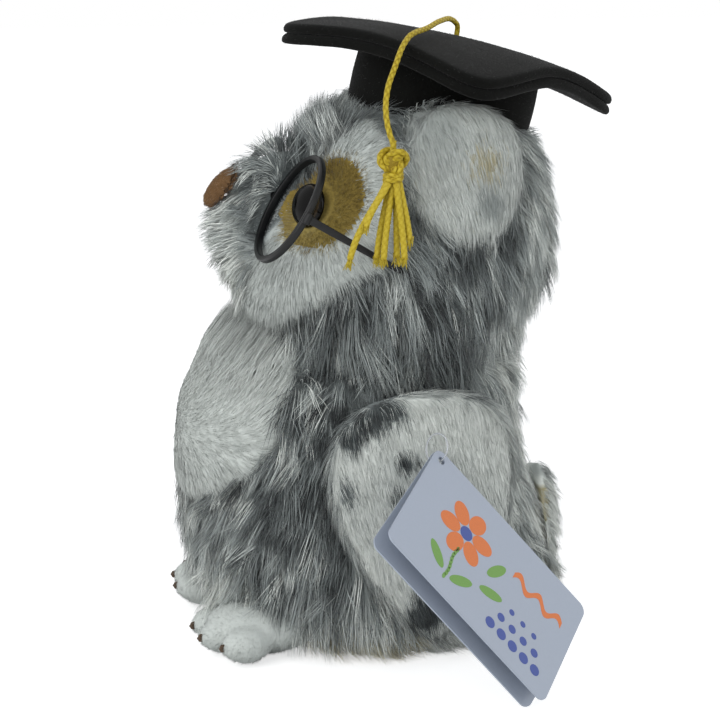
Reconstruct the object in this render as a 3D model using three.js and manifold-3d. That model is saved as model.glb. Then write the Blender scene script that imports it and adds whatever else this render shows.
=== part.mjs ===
// A plush owl with glasses and a mortarboard. Millimetres, +Z up, the owl looks along -Y and its own
// left side is +X. The origin is the middle of the flat base under the neck axis, on the table.
import * as THREE from 'three';
import { mergeVertices } from 'three/addons/utils/BufferGeometryUtils.js';
import Module from 'manifold-3d';

const wasm = await Module();
wasm.setup();

// Driving dimensions of the whole toy
const gap = 0.3; // left between pieces that touch
const overrun = 40; // how far a cutter runs past what it cuts
const pile = 7; // fabric and fur together, on the body and the head

// A placeShares list is [to the side, forward, up], as shares of the half width, the front reach and
// the height of the body or head that carries the piece.
const body = { height: 117, halfWidth: 62, front: 82, back: 72, baseThickness: 4, square: 2.2 };
const head = { height: 102, halfWidth: 62.5, front: 57, back: 71, lift: 0.5, turn: 6, square: 2.1 };
const neck = {
  discRadius: 24, discThickness: 2.5, postRadius: 4, washerRadius: 18, lockRadius: 8, lockHeight: 3,
  clearance: 0.5,
};
const muzzle = { halfWidth: 17, halfDepth: 26, halfHeight: 31, pitch: 30, placeShares: [0, 0.711, 0.485] };
const beak = {
  halfWidth: 7.5, length: 13, halfHeight: 10, hook: 4, taperShare: 0.25, placeShares: [0, 1.237, 0.613],
};
const eye = {
  radius: 8.5, dome: 5, yaw: 22, pitch: 16, stemRadius: 2, stemLength: 15, washerRadius: 7, washerThickness: 1.6,
  placeShares: [0.448, 0.623, 0.564],
};
const eyePatch = { halfWidth: 17.5, halfHeight: 19.5, placeShares: [0.528, 0.711, 0.608] };
const sidePuff = { halfWidth: 13, halfDepth: 28, halfHeight: 28, placeShares: [0.752, -0.316, 0.691] };
const glasses = {
  lensRadius: 20.3, bar: 2.4, depth: 2.8, chamfer: 0.6, pitch: 31, bridgeRise: 3,
  placeShares: [0.432, 0.754, 0.554],
};
const temple = { length: 46, height: 3, width: 2, splay: 19, knuckleRadius: 1.7, knuckleHeight: 4.2 };
const foot = { halfWidth: 21, halfLength: 26, halfHeight: 12, yaw: 15, flat: 0.5, placeShares: [0.516, 0.61, 0] };
const toe = { radius: 8.2, length: 12, spread: 14.5, forward: 15, leadShare: 0.35, dropShare: 0.32 };
const claw = { halfWidth: 1.2, halfLength: 4.5 };
const wing = {
  length: 95, halfDepth: 36.5, back: 5.5, lining: 1.6, face: 6.5, clearance: 0.6, topShare: 0.915,
};
const tail = { halfWidth: 27, halfDepth: 13, halfHeight: 29, pitch: 14, placeShares: [0, -0.817, 0.282] };
const pouch = { height: 22 };
const cap = {
  tilt: 14, turn: 10, halfDiagonal: 73, ply: 4.1, droop: 16, squareness: 7, bandRadius: 36, bandWall: 2.6,
  bandDrop: 26, bandDroopShare: 0.5, holeRadius: 1.6, placeShares: [0, -0.57, 1.113],
};
const cord = { radius: 1.1, rise: 5, edgeShare: 0.56 }; // edgeShare: where it bends over the board's edge
const knot = { radius: 6.2, halfHeight: 6.6, lobes: 3, lobeShare: 0.1 };
const strand = { radius: 1.15, ring: 2.8, length: 31, spreadTurn: 72, bowShare: 0.6 };
const tag = {
  length: 86, width: 55, thickness: 0.6, cornerRadius: 3.8, holeRadius: 1.6, holeInset: 4, opening: 8,
  back: 7.5, heightShare: 0.7614, ringRadius: 5.5, wire: 0.35,
};

// How finely each kind of form is faceted, as counts of faces
const facets = {
  bodyAround: 26, bodyAlong: 12, headAround: 26, headAlong: 14, innerAround: 14, innerAlong: 8,
  largeAround: 16, largeAlong: 10, smallAround: 12, smallAlong: 7, tinyAround: 6, tinyAlong: 4,
  pouchAround: 14, pouchAlong: 6, knotAround: 18, knotAlong: 12, outline: 24, post: 16, disc: 20, ring: 12,
  rim: 26, knuckle: 10, bridge: 7, eye: 18, dome: 4, beakRound: 14, beakLong: 5, spokes: 26, boardRings: 4,
  band: 22, cordSides: 8, cordTop: 14, cordDrop: 10, strand: 5, wireSides: 6, wireRound: 18, corner: 4,
};
const facing = (kind) => [facets[`${kind}Around`], facets[`${kind}Along`]];

const rad = THREE.MathUtils.degToRad;

// Finishes
const finish = (color, roughness, metalness = 0) => new THREE.MeshStandardMaterial({ color, roughness, metalness });
const greyPlush = () => finish(0x6f7675, 1);
const whitePlush = () => finish(0xaab2b0, 1);
const tanPlush = () => finish(0x5b5330, 1);
const brownPlush = () => finish(0x674f37, 1);
const fibrefill = () => finish(0xe8e6df, 1);
const felt = () => finish(0x11130d, 1);
const yellowCord = () => finish(0xa08a20, 0.8);
const blackPlastic = () => finish(0x26282a, 0.4);
const whitePlastic = () => finish(0xdcdcd8, 0.5);
const clearPlastic = () => finish(0xd8dcdc, 0.2);
const eyePlastic = () => finish(0x0a0806, 0.08);
const card = () => finish(0x969fb0, 0.5);

const owl = new THREE.Group();
const headGroup = new THREE.Group(); // turned a little to the owl's left at rest
headGroup.rotation.z = rad(head.turn);
owl.add(headGroup);

// Turns a closed geometry, placed by a matrix, into a solid that can be joined and cut.
function solid(geometry, matrix) {
  const bare = geometry.clone();
  bare.deleteAttribute('normal');
  bare.deleteAttribute('uv');
  if (matrix) bare.applyMatrix4(matrix);
  const merged = mergeVertices(bare);
  const vertProperties = Float32Array.from(merged.attributes.position.array);
  const triVerts = Uint32Array.from(merged.index.array);
  return new wasm.Manifold(new wasm.Mesh({ numProp: 3, vertProperties, triVerts }));
}

function geometryOf(shape) {
  const mesh = shape.getMesh();
  const geometry = new THREE.BufferGeometry();
  geometry.setAttribute('position', new THREE.BufferAttribute(Float32Array.from(mesh.vertProperties), 3));
  geometry.setIndex(Array.from(mesh.triVerts));
  geometry.computeVertexNormals();
  return geometry;
}

function add(name, shape, material, parent = owl) {
  const mesh = new THREE.Mesh(geometryOf(shape), material);
  mesh.name = name;
  parent.add(mesh);
}

const shift = (x, y, z) => new THREE.Matrix4().makeTranslation(x, y, z);
const aboutX = (degrees) => new THREE.Matrix4().makeRotationX(rad(degrees));
const aboutY = (degrees) => new THREE.Matrix4().makeRotationY(rad(degrees));
const aboutZ = (degrees) => new THREE.Matrix4().makeRotationZ(rad(degrees));
const placed = (...matrices) => matrices.reduce((whole, matrix) => whole.multiply(matrix), new THREE.Matrix4());
const sized = (x, y, z) => new THREE.Matrix4().makeScale(x, y, z);
const upright = aboutX(90);

const headBase = body.height + head.lift;
const onHead = ([side, forward, up]) => [
  side * head.halfWidth, -forward * head.front, headBase + up * head.height];
const onBody = ([side, forward, up]) => [side * body.halfWidth, -forward * body.front, up * body.height];

// Mirrors a solid to the other side of the toy.
const mirrored = (shape) => shape.mirror([1, 0, 0]);
const sided = (shape, side) => (side > 0 ? shape : mirrored(shape));
const sides = [['left', 1], ['right', -1]];

// One value of a curve through a, b, c and d, between b and c.
function through(a, b, c, d, t) {
  const slope = (c - a) * t;
  const bend = (2 * a - 5 * b + 4 * c - d) * t * t;
  const twist = (3 * b - a - 3 * c + d) * t * t * t;
  return (2 * b + slope + bend + twist) / 2;
}

const leastShare = 0.03; // the smallest section of a stuffed form

// One level section of a stuffed form, at a share of the way from its first row to its last.
// rowShares holds [height, half width, front, back] as shares of size; grow swells it all round.
function section(size, rowShares, along, grow) {
  const row = (i) => rowShares[Math.min(Math.max(i, 0), rowShares.length - 1)];
  const step = along * (rowShares.length - 1);
  const i = Math.min(Math.floor(step), rowShares.length - 2);
  const value = (c) => through(row(i - 1)[c], row(i)[c], row(i + 1)[c], row(i + 2)[c], step - i);
  const front = value(2) * size.front;
  const back = value(3) * size.back;
  return {
    z: size.base - grow + value(0) * (size.height + 2 * grow),
    half: Math.max(value(1) * size.halfWidth + grow, leastShare * size.halfWidth),
    middle: (back - front) / 2,
    reach: Math.max((back + front) / 2 + grow, leastShare * size.back),
  };
}

// How far from the middle plane the side of a stuffed form lies, at one place on its side view.
function sideReach(size, rowShares, y, z, grow) {
  const tries = 20;
  let [low, high] = [0, 1];
  for (let turn = 0; turn < tries; turn++) {
    const along = (low + high) / 2;
    if (section(size, rowShares, along, grow).z < z) low = along;
    else high = along;
  }
  const { half, middle, reach } = section(size, rowShares, low, grow);
  return half * (1 - Math.abs((y - middle) / reach) ** size.square) ** (1 / size.square);
}

// A stuffed form: level sections, each with its own half width and its reach to the front and back.
function stuffed(size, rowShares, [segments, steps], grow = 0) {
  const positions = [];
  const middles = [];
  for (let k = 0; k <= steps; k++) {
    const { z, half, middle, reach } = section(size, rowShares, k / steps, grow);
    middles.push([0, middle, z]);
    for (let j = 0; j < segments; j++) {
      const angle = (2 * Math.PI * j) / segments;
      const across = Math.sign(Math.cos(angle)) * Math.abs(Math.cos(angle)) ** (2 / size.square);
      const along = Math.sign(Math.sin(angle)) * Math.abs(Math.sin(angle)) ** (2 / size.square);
      positions.push(half * across, middle + reach * along, z);
    }
  }
  const base = positions.push(...middles[0]) / 3 - 1;
  const top = positions.push(...middles[steps]) / 3 - 1;
  const index = [];
  for (let j = 0; j < segments; j++) {
    const next = (j + 1) % segments;
    index.push(base, next, j, top, steps * segments + j, steps * segments + next);
    for (let k = 0; k < steps; k++) {
      const a = k * segments + j;
      const b = k * segments + next;
      index.push(a, b, b + segments, a, b + segments, a + segments);
    }
  }
  const geometry = new THREE.BufferGeometry();
  geometry.setAttribute('position', new THREE.Float32BufferAttribute(positions, 3));
  geometry.setIndex(index);
  return solid(geometry);
}

// A ball with three half sizes, turned about X and set down at a place.
function ball(halfSizes, place, [around, up], { pitch = 0, grow = 0 } = {}) {
  const half = halfSizes.map((size) => size + grow);
  return solid(new THREE.SphereGeometry(1, around, up), placed(shift(...place), aboutX(pitch), sized(...half)));
}

// A smooth closed outline through a few points, pushed out from its middle by grow.
function outline(points, grow) {
  const middle = new THREE.Vector2();
  for (const [x, y] of points) middle.add(new THREE.Vector2(x, y).divideScalar(points.length));
  const moved = points.map(([x, y]) => {
    const away = new THREE.Vector2(x, y).sub(middle);
    away.setLength(away.length() + grow).add(middle);
    return new THREE.Vector3(away.x, away.y, 0);
  });
  const curve = new THREE.CatmullRomCurve3(moved, true);
  return new THREE.Shape(curve.getPoints(facets.outline).slice(0, -1).map((p) => new THREE.Vector2(p.x, p.y)));
}

function circleShape(radius, count) {
  const corners = Array.from({ length: count }, (_, k) => (2 * Math.PI * (k + 0.5)) / count);
  const origin = new THREE.Vector2();
  return new THREE.Shape(corners.map((angle) => new THREE.Vector2(radius, 0).rotateAround(origin, angle)));
}

// Cutters: an outline drawn on the side view (Y, Z) and run out along +X, or on the front view (X, Z)
// and run out along -Y.
const [alongX, alongY, alongZ] = [[1, 0, 0], [0, 1, 0], [0, 0, 1]].map((v) => new THREE.Vector3(...v));
const sideView = new THREE.Matrix4().makeBasis(alongY, alongZ, alongX);
const frontView = new THREE.Matrix4().makeBasis(alongX, alongZ, alongY.clone().negate());
const prism = (shape, view, from, depth) => solid(
  new THREE.ExtrudeGeometry(shape, { depth, bevelEnabled: false }), placed(view, shift(0, 0, from)));
const drum = (radius, from, to, count) => solid(
  new THREE.CylinderGeometry(radius, radius, to - from, count), placed(shift(0, 0, (from + to) / 2), upright));
const turned = (points, count) => new THREE.LatheGeometry(points.map(([x, y]) => new THREE.Vector2(x, y)), count);
const ringProfile = (inner, outer, from, to) => [
  [inner, from], [outer, from], [outer, to], [inner, to], [inner, from]];
const floorCut = (level) => solid(
  new THREE.BoxGeometry(4 * body.back, 4 * body.back, overrun), shift(0, 0, level - overrun / 2));

// The body coat, with a white panel let into its belly and a flat panel under it
const bodyRowShares = [
  [0.00, 0.66, 0.42, 0.84], [0.03, 0.78, 0.55, 0.93], [0.09, 0.89, 0.70, 0.99], [0.18, 0.97, 0.86, 1.00],
  [0.29, 1.00, 0.95, 0.98], [0.42, 1.01, 0.98, 0.93], [0.56, 1.00, 1.00, 0.85], [0.69, 0.985, 0.99, 0.80],
  [0.81, 0.965, 0.97, 0.79], [0.91, 0.94, 0.94, 0.81], [0.97, 0.90, 0.90, 0.80], [1.00, 0.80, 0.82, 0.75]];
const bodySize = { ...body, base: 0 };
const bodyForm = (grow, faces = facing('body')) => stuffed(bodySize, bodyRowShares, faces, grow);
const neckHole = drum(neck.postRadius + neck.clearance, body.height - overrun, body.height + overrun, facets.post);

const baseShares = [
  [0, -0.34], [0.44, -0.12], [0.54, 0.34], [0.3, 0.72], [0, 0.78], [-0.3, 0.72], [-0.54, 0.34], [-0.44, -0.12]];
const basePoints = baseShares.map(([x, y]) => [x * body.halfWidth, y * (y < 0 ? body.front : body.back)]);
const basePlate = (grow, from, to) => prism(outline(basePoints, grow), new THREE.Matrix4(), from, to - from);

const bellyShares = [
  [0, 0.42], [0.36, 0.48], [0.62, 0.60], [0.79, 0.74], [0.80, 0.88], [0.55, 0.935], [0, 0.94],
  [-0.55, 0.935], [-0.80, 0.88], [-0.79, 0.74], [-0.62, 0.60], [-0.36, 0.48]];
const bellyPoints = bellyShares.map(([x, z]) => [x * body.halfWidth, z * body.height]);
const bellyCutter = (grow) => prism(outline(bellyPoints, grow), frontView, pile, body.front + overrun);

const bodyShell = bodyForm(0).subtract(bodyForm(-pile, facing('inner')));
const bodyCoat = bodyShell.subtract(bellyCutter(gap / 2)).subtract(neckHole)
  .subtract(basePlate(gap / 2, -overrun, pile + overrun / 2));
add('body_coat', bodyCoat, greyPlush());
add('belly_panel', bodyShell.intersect(bellyCutter(-gap / 2)), whitePlush());
add('base_panel', basePlate(-gap / 2, 0, body.baseThickness), whitePlush());

// What fills the body: a bag of weight on the base and loose fibre above it
const pouchSize = { ...body, base: body.baseThickness + gap, height: pouch.height };
const pouchRowShares = [
  [0, 0.62, 0.30, 0.62], [0.3, 0.74, 0.42, 0.72], [0.6, 0.76, 0.46, 0.74], [0.85, 0.66, 0.36, 0.64],
  [1, 0.4, 0.16, 0.42]];
const pouchForm = (grow) => stuffed(pouchSize, pouchRowShares, facing('pouch'), grow);
const fillForm = bodyForm(-pile - gap, facing('inner'));
const pouchRoom = fillForm.add(basePlate(-gap, body.baseThickness + gap, pile + gap * 2));
const washerTop = body.height - pile - gap;
const lockTop = washerTop - neck.discThickness - gap;
const postFoot = lockTop - neck.lockHeight - gap;
const neckSpace = drum(
  neck.washerRadius + neck.clearance, postFoot - neck.clearance, body.height + overrun, facets.post);
add('weight_pouch', pouchForm(0).intersect(pouchRoom), fibrefill());
add('body_stuffing', fillForm.subtract(pouchForm(gap)).subtract(neckSpace), fibrefill());

// The neck: a disc and post in the head, held by a washer and a lock ring in the body
const discBase = headBase + pile + gap;
const discTop = discBase + neck.discThickness;
const discProfile = [
  [0, postFoot], [neck.postRadius, postFoot], [neck.postRadius, discBase], [neck.discRadius, discBase],
  [neck.discRadius, discTop], [0, discTop]];
add('neck_disc', solid(turned(discProfile, facets.disc), upright), whitePlastic(), headGroup);
const washer = ringProfile(neck.postRadius + gap, neck.washerRadius, washerTop - neck.discThickness, washerTop);
add('neck_washer', solid(turned(washer, facets.disc), upright), whitePlastic());
const lock = ringProfile(neck.postRadius + gap, neck.lockRadius, lockTop - neck.lockHeight, lockTop);
add('neck_lock', solid(turned(lock, facets.ring), upright), whitePlastic());

// The feet, each with three toes and stitched claws, flat where they stand
const toes = [-1, 0, 1];
const toePlace = (k) => [
  k * toe.spread, -toe.forward - toe.radius * toe.leadShare * (1 - k * k), -toe.radius * toe.dropShare];
function footForm(grow) {
  let form = ball([foot.halfWidth, foot.halfLength, foot.halfHeight], [0, 0, 0], facing('large'), { grow });
  for (const k of toes) {
    form = form.add(ball([toe.radius, toe.length, toe.radius], toePlace(k), facing('small'), { grow }));
  }
  return form;
}
const legCut = bodyForm(gap);
const [footSide, footForward] = onBody(foot.placeShares);
for (const [name, side] of sides) {
  const place = placed(shift(side * footSide, footForward, foot.halfHeight - foot.flat), aboutZ(side * foot.yaw));
  const standing = (shape) => shape.transform(place.toArray());
  add(`foot_${name}`, standing(footForm(0)).subtract(legCut).subtract(floorCut(0)), whitePlush());
  for (const k of toes) {
    const [x, y, z] = toePlace(k);
    const tip = [x, y - toe.length + claw.halfLength / 2, z];
    const nail = ball([claw.halfWidth, claw.halfLength, claw.halfLength], tip, facing('tiny'));
    add(`claw_${name}_${k + 2}`, standing(nail.subtract(footForm(gap))), brownPlush());
  }
}

// The tail, cut by the back of the body
const tailForm = ball(
  [tail.halfWidth, tail.halfDepth, tail.halfHeight], onBody(tail.placeShares), facing('large'),
  { pitch: -tail.pitch });
add('tail', tailForm.subtract(legCut).subtract(floorCut(gap)), greyPlush());

// The wings: a plush face over a thin lining, both curved round the side of the body
const wingShares = [
  [0, 1], [0.55, 0.97], [0.9, 0.86], [1, 0.66], [0.88, 0.42], [0.52, 0.14], [0.12, 0], [-0.28, 0.12],
  [-0.72, 0.36], [-0.98, 0.62], [-0.92, 0.86], [-0.55, 0.97]];
const wingTop = wing.topShare * body.height;
const wingPoints = wingShares.map(([y, z]) => [wing.back + y * wing.halfDepth, wingTop - (1 - z) * wing.length]);
const wingCutter = prism(outline(wingPoints, 0), sideView, pile, body.halfWidth + overrun);
const wingLayer = (from, to) => bodyForm(to).subtract(bodyForm(from)).intersect(wingCutter);
const liningTop = wing.clearance + wing.lining;
const wingOuter = liningTop + wing.face;
for (const [name, side] of sides) {
  add(`wing_${name}_lining`, sided(wingLayer(wing.clearance, liningTop), side), greyPlush());
  add(`wing_${name}_face`, sided(wingLayer(liningTop + gap, wingOuter), side), whitePlush());
}

// The head
const headRowShares = [
  [0.00, 0.72, 0.78, 0.78], [0.04, 0.84, 0.92, 0.88], [0.13, 0.95, 1.00, 0.97], [0.27, 1.00, 1.00, 1.00],
  [0.40, 1.01, 0.90, 1.00], [0.52, 0.99, 0.74, 0.99], [0.62, 0.95, 0.64, 0.97], [0.72, 0.89, 0.56, 0.93],
  [0.81, 0.80, 0.47, 0.87], [0.88, 0.69, 0.34, 0.79], [0.94, 0.53, 0.14, 0.67], [0.98, 0.31, -0.08, 0.53],
  [1.00, 0.08, -0.28, 0.38]];
const headSize = { ...head, base: headBase };
const headForm = (grow, faces = facing('head')) => stuffed(headSize, headRowShares, faces, grow);
const headSkin = headForm(gap);
const headNeckHole = drum(
  neck.postRadius + neck.clearance, headBase - overrun, headBase + overrun / 2, facets.post);

// The glasses: two rims and a bridge in one piece, leaning back with the face
const [lensSide, lensForward, lensHeight] = onHead(glasses.placeShares);
const glassesPlace = placed(shift(0, lensForward, lensHeight), aboutX(-glasses.pitch));
function glassesForm(grow) {
  const inner = glasses.lensRadius - grow;
  const outer = glasses.lensRadius + glasses.bar + grow;
  const half = glasses.depth / 2 + grow;
  const edge = glasses.chamfer;
  const profile = [
    [inner, -half], [outer - edge, -half], [outer, edge - half], [outer, half - edge], [outer - edge, half],
    [inner, half], [inner, -half]];
  const rim = (side) => solid(turned(profile, facets.rim), placed(glassesPlace, shift(side * lensSide, 0, 0)));
  const reach = lensSide - glasses.lensRadius - glasses.bar / 2;
  const arch = new THREE.QuadraticBezierCurve3(
    new THREE.Vector3(-reach, 0, 0),
    new THREE.Vector3(0, -glasses.bridgeRise, 2 * glasses.bridgeRise),
    new THREE.Vector3(reach, 0, 0));
  const bar = circleShape(glasses.bar / 2 + grow, facets.cordSides);
  const bridge = new THREE.ExtrudeGeometry(bar, { extrudePath: arch, steps: facets.bridge, bevelEnabled: false });
  return rim(1).add(rim(-1)).add(solid(bridge, glassesPlace));
}
const armSide = lensSide + glasses.lensRadius + glasses.bar + gap + temple.width / 2;
const armPlace = placed(glassesPlace, shift(armSide, 0, 0), aboutZ(-temple.splay));
function templeForm(grow) {
  const arm = new THREE.BoxGeometry(temple.width + 2 * grow, temple.length + 2 * grow, temple.height + 2 * grow);
  const knuckle = new THREE.CylinderGeometry(
    temple.knuckleRadius + grow, temple.knuckleRadius + grow, temple.knuckleHeight + 2 * grow, facets.knuckle);
  return solid(arm, placed(armPlace, shift(0, (temple.length - glasses.depth) / 2, 0)))
    .add(solid(knuckle, placed(armPlace, upright)));
}

// The eyes: a dome on a stem that goes through the face, held by a washer behind
const eyePlace = placed(shift(...onHead(eye.placeShares)), aboutZ(eye.yaw), aboutX(-eye.pitch));
function eyeForm(grow) {
  const stem = eye.stemRadius + grow;
  const rim = eye.radius + grow;
  const dome = eye.dome + grow;
  const curve = Array.from({ length: facets.dome - 1 }, (_, k) => {
    const angle = (Math.PI / 2) * ((k + 1) / facets.dome);
    return [rim * Math.cos(angle), -dome * Math.sin(angle)];
  });
  const profile = [[0, eye.stemLength + grow], [stem, eye.stemLength + grow], [stem, grow], [rim, grow], ...curve];
  return solid(turned([...profile, [0, -dome]].reverse(), facets.eye), eyePlace);
}
const eyeWell = eyeForm(gap).add(solid(
  new THREE.CylinderGeometry(eye.radius + gap, eye.radius + gap, overrun / 2, facets.eye),
  placed(eyePlace, shift(0, gap - overrun / 4, 0))));
const eyeWasherTop = eye.stemLength - eye.washerThickness;
const eyeWasher = ringProfile(
  eye.stemRadius + gap, eye.washerRadius, eyeWasherTop - eye.washerThickness, eyeWasherTop);

// The face: a white panel at each side, drawn on the side view, with a tan patch round the eye
const faceShares = [
  [-0.14, 0.86], [0.02, 0.76], [0.03, 0.56], [0.0, 0.38], [-0.26, 0.20], [-0.60, 0.09], [-0.96, 0.09],
  [-1.3, 0.2], [-1.2, 0.55], [-0.66, 0.76], [-0.36, 0.88]];
const facePoints = faceShares.map(([y, z]) => [y * head.front, headBase + z * head.height]);
const faceCutter = (grow) => prism(outline(facePoints, grow), sideView, gap - grow, head.halfWidth + overrun);
const patchPlace = glassesPlace.clone().setPosition(...onHead(eyePatch.placeShares));
const frontHalf = solid(
  new THREE.BoxGeometry(4 * head.halfWidth, 2 * head.front, 2 * head.height),
  shift(0, -head.front, 2 * head.height - pile));
const patchCutter = (grow) => solid(
  new THREE.CylinderGeometry(1, 1, 2, facets.largeAround),
  placed(patchPlace, sized(eyePatch.halfWidth + grow, overrun, eyePatch.halfHeight + grow))).intersect(frontHalf);

const glassesClear = glassesForm(gap);
const templeClear = templeForm(gap);
const headShell = headForm(0).subtract(headForm(-pile, facing('inner'))).subtract(headNeckHole);
let headCoat = headShell;
for (const [name, side] of sides) {
  const arm = sided(templeClear, side);
  const well = sided(eyeWell, side);
  const face = headShell.intersect(sided(faceCutter(-gap / 2), side)).subtract(arm);
  const facePanel = face.subtract(sided(patchCutter(gap / 2), side)).subtract(well);
  const patch = headShell.intersect(sided(patchCutter(-gap / 2), side)).subtract(well);
  const backWasher = sided(solid(turned(eyeWasher, facets.ring), eyePlace), side);
  add(`face_panel_${name}`, facePanel, whitePlush(), headGroup);
  add(`eye_patch_${name}`, patch, tanPlush(), headGroup);
  add(`eye_${name}`, sided(eyeForm(0), side), eyePlastic(), headGroup);
  add(`eye_washer_${name}`, backWasher, whitePlastic(), headGroup);
  headCoat = headCoat.subtract(sided(faceCutter(gap / 2), side)).subtract(sided(patchCutter(gap / 2), side));
  headCoat = headCoat.subtract(arm);
}
add('head_coat', headCoat, greyPlush(), headGroup);

// The muzzle and brow, a swelling between the eyes, and the beak on it
const muzzleForm = (grow) => ball(
  [muzzle.halfWidth, muzzle.halfDepth, muzzle.halfHeight], onHead(muzzle.placeShares), facing('large'),
  { pitch: -muzzle.pitch, grow });
add('muzzle', muzzleForm(0).subtract(headSkin).subtract(glassesClear), greyPlush(), headGroup);
function beakForm() {
  const curve = Array.from({ length: facets.beakLong }, (_, k) => {
    const angle = (Math.PI / 2) * (k / facets.beakLong);
    return [Math.cos(angle), Math.sin(angle)];
  });
  const geometry = turned([[0, -1], [1, -1], ...curve, [0, 1]], facets.beakRound);
  const place = geometry.attributes.position;
  for (let i = 0; i < place.count; i++) {
    const out = place.getY(i);
    const ahead = Math.max(out, 0);
    const x = -place.getX(i) * beak.halfWidth;
    const z = place.getZ(i) * beak.halfHeight * (1 - ahead * beak.taperShare) - ahead ** 2 * beak.hook;
    place.setXYZ(i, x, (1 - out) * beak.length, z);
  }
  return solid(geometry, shift(...onHead(beak.placeShares)));
}
add('beak', beakForm().subtract(muzzleForm(gap)).subtract(headSkin), brownPlush(), headGroup);

// The white puffs behind the face, one at each side of the crown
const puffForm = (grow) => ball(
  [sidePuff.halfWidth, sidePuff.halfDepth, sidePuff.halfHeight], onHead(sidePuff.placeShares), facing('large'),
  { grow });
for (const [name, side] of sides) {
  add(`side_puff_${name}`, sided(puffForm(0).subtract(headSkin), side), whitePlush(), headGroup);
}

// Loose fibre in the head, clear of the neck disc and of the eye washers
const discSpace = drum(neck.discRadius + neck.clearance, headBase - overrun, discTop + gap, facets.post);
const eyeSpace = solid(
  new THREE.CylinderGeometry(eye.washerRadius + gap, eye.washerRadius + gap, eye.stemLength, facets.ring),
  placed(eyePlace, shift(0, eye.stemLength / 2 + gap, 0)));
const headFill = headForm(-pile - gap, facing('inner')).subtract(discSpace)
  .subtract(eyeSpace).subtract(mirrored(eyeSpace));
add('head_stuffing', headFill, fibrefill(), headGroup);

// The frame of the glasses and its two side arms
add('glasses_front', glassesForm(0), blackPlastic(), headGroup);
for (const [name, side] of sides) {
  add(`temple_${name}`, sided(templeForm(0).subtract(glassesClear), side), blackPlastic(), headGroup);
}

// The cap: a felt band on the crown and a soft square board of two plies with drooping corners
const capPlace = placed(shift(...onHead(cap.placeShares)), aboutX(-cap.tilt), aboutZ(-cap.turn));
// How far each corner and each middle of a side hangs, going round from the owl's left corner
const droopShares = [1, 0.35, 0.67, 0.35, 0.5, 0.4, 0.8, 0.8];

function droopAt(angle) {
  const step = ((angle / (2 * Math.PI)) * droopShares.length + droopShares.length) % droopShares.length;
  const i = Math.floor(step);
  const mix = (1 - Math.cos(Math.PI * (step - i))) / 2;
  return droopShares[i] * (1 - mix) + droopShares[(i + 1) % droopShares.length] * mix;
}

// Distance from the middle of a rounded square, corners on the axes, to its edge.
function squareReach(angle) {
  const power = cap.squareness;
  const x = Math.cos(angle + Math.PI / 4);
  const y = Math.sin(angle + Math.PI / 4);
  return (cap.halfDiagonal / Math.SQRT2) / (Math.abs(x) ** power + Math.abs(y) ** power) ** (1 / power);
}

function plyForm(from, to) {
  const { spokes, boardRings } = facets;
  const positions = [];
  const spoke = (j) => (2 * Math.PI * j) / spokes;
  const point = (angle, share, level, out = 0) => {
    const reach = squareReach(angle) * share + out;
    const sag = cap.droop * droopAt(angle) * (reach / cap.halfDiagonal) ** 2;
    positions.push(reach * Math.cos(angle), reach * Math.sin(angle), level - sag);
  };
  for (const level of [from, to]) {
    positions.push(0, 0, level);
    for (let r = 1; r <= boardRings; r++) {
      for (let j = 0; j < spokes; j++) point(spoke(j), r / boardRings, level);
    }
  }
  for (let j = 0; j < spokes; j++) point(spoke(j), 1, (from + to) / 2, (to - from) / 2);
  const face = 1 + boardRings * spokes;
  const at = (layer, r, j) => layer * face + 1 + (r - 1) * spokes + (j % spokes);
  const rim = (j) => 2 * face + (j % spokes);
  const index = [];
  for (let j = 0; j < spokes; j++) {
    const k = j + 1;
    index.push(0, at(0, 1, k), at(0, 1, j), face, at(1, 1, j), at(1, 1, k));
    for (let r = 1; r < boardRings; r++) {
      index.push(at(0, r, j), at(0, r, k), at(0, r + 1, k), at(0, r, j), at(0, r + 1, k), at(0, r + 1, j));
      index.push(at(1, r, j), at(1, r + 1, k), at(1, r, k), at(1, r, j), at(1, r + 1, j), at(1, r + 1, k));
    }
    index.push(at(0, boardRings, j), at(0, boardRings, k), rim(k), at(0, boardRings, j), rim(k), rim(j));
    index.push(rim(j), rim(k), at(1, boardRings, k), rim(j), at(1, boardRings, k), at(1, boardRings, j));
  }
  const geometry = new THREE.BufferGeometry();
  geometry.setAttribute('position', new THREE.Float32BufferAttribute(positions, 3));
  geometry.setIndex(index);
  return solid(geometry, capPlace);
}
const cordHole = solid(
  new THREE.CylinderGeometry(cap.holeRadius, cap.holeRadius, overrun, facets.ring), placed(capPlace, upright));
add('cap_board_top', plyForm(gap / 2, cap.ply).subtract(cordHole), felt(), headGroup);
add('cap_board_bottom', plyForm(-cap.ply, -gap / 2), felt(), headGroup);
const bandTop = -cap.ply - gap;
const bandSag = cap.droop * cap.bandDroopShare * (cap.bandRadius / cap.halfDiagonal) ** 2;
const bandProfile = ringProfile(
  cap.bandRadius - cap.bandWall, cap.bandRadius, bandTop - cap.bandDrop, bandTop + bandSag);
const puffSkin = puffForm(gap).add(mirrored(puffForm(gap)));
const bandForm = solid(turned(bandProfile, facets.band), placed(capPlace, upright))
  .subtract(headSkin).subtract(puffSkin).subtract(plyForm(bandTop, overrun));
add('cap_band', bandForm, felt(), headGroup);

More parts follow.
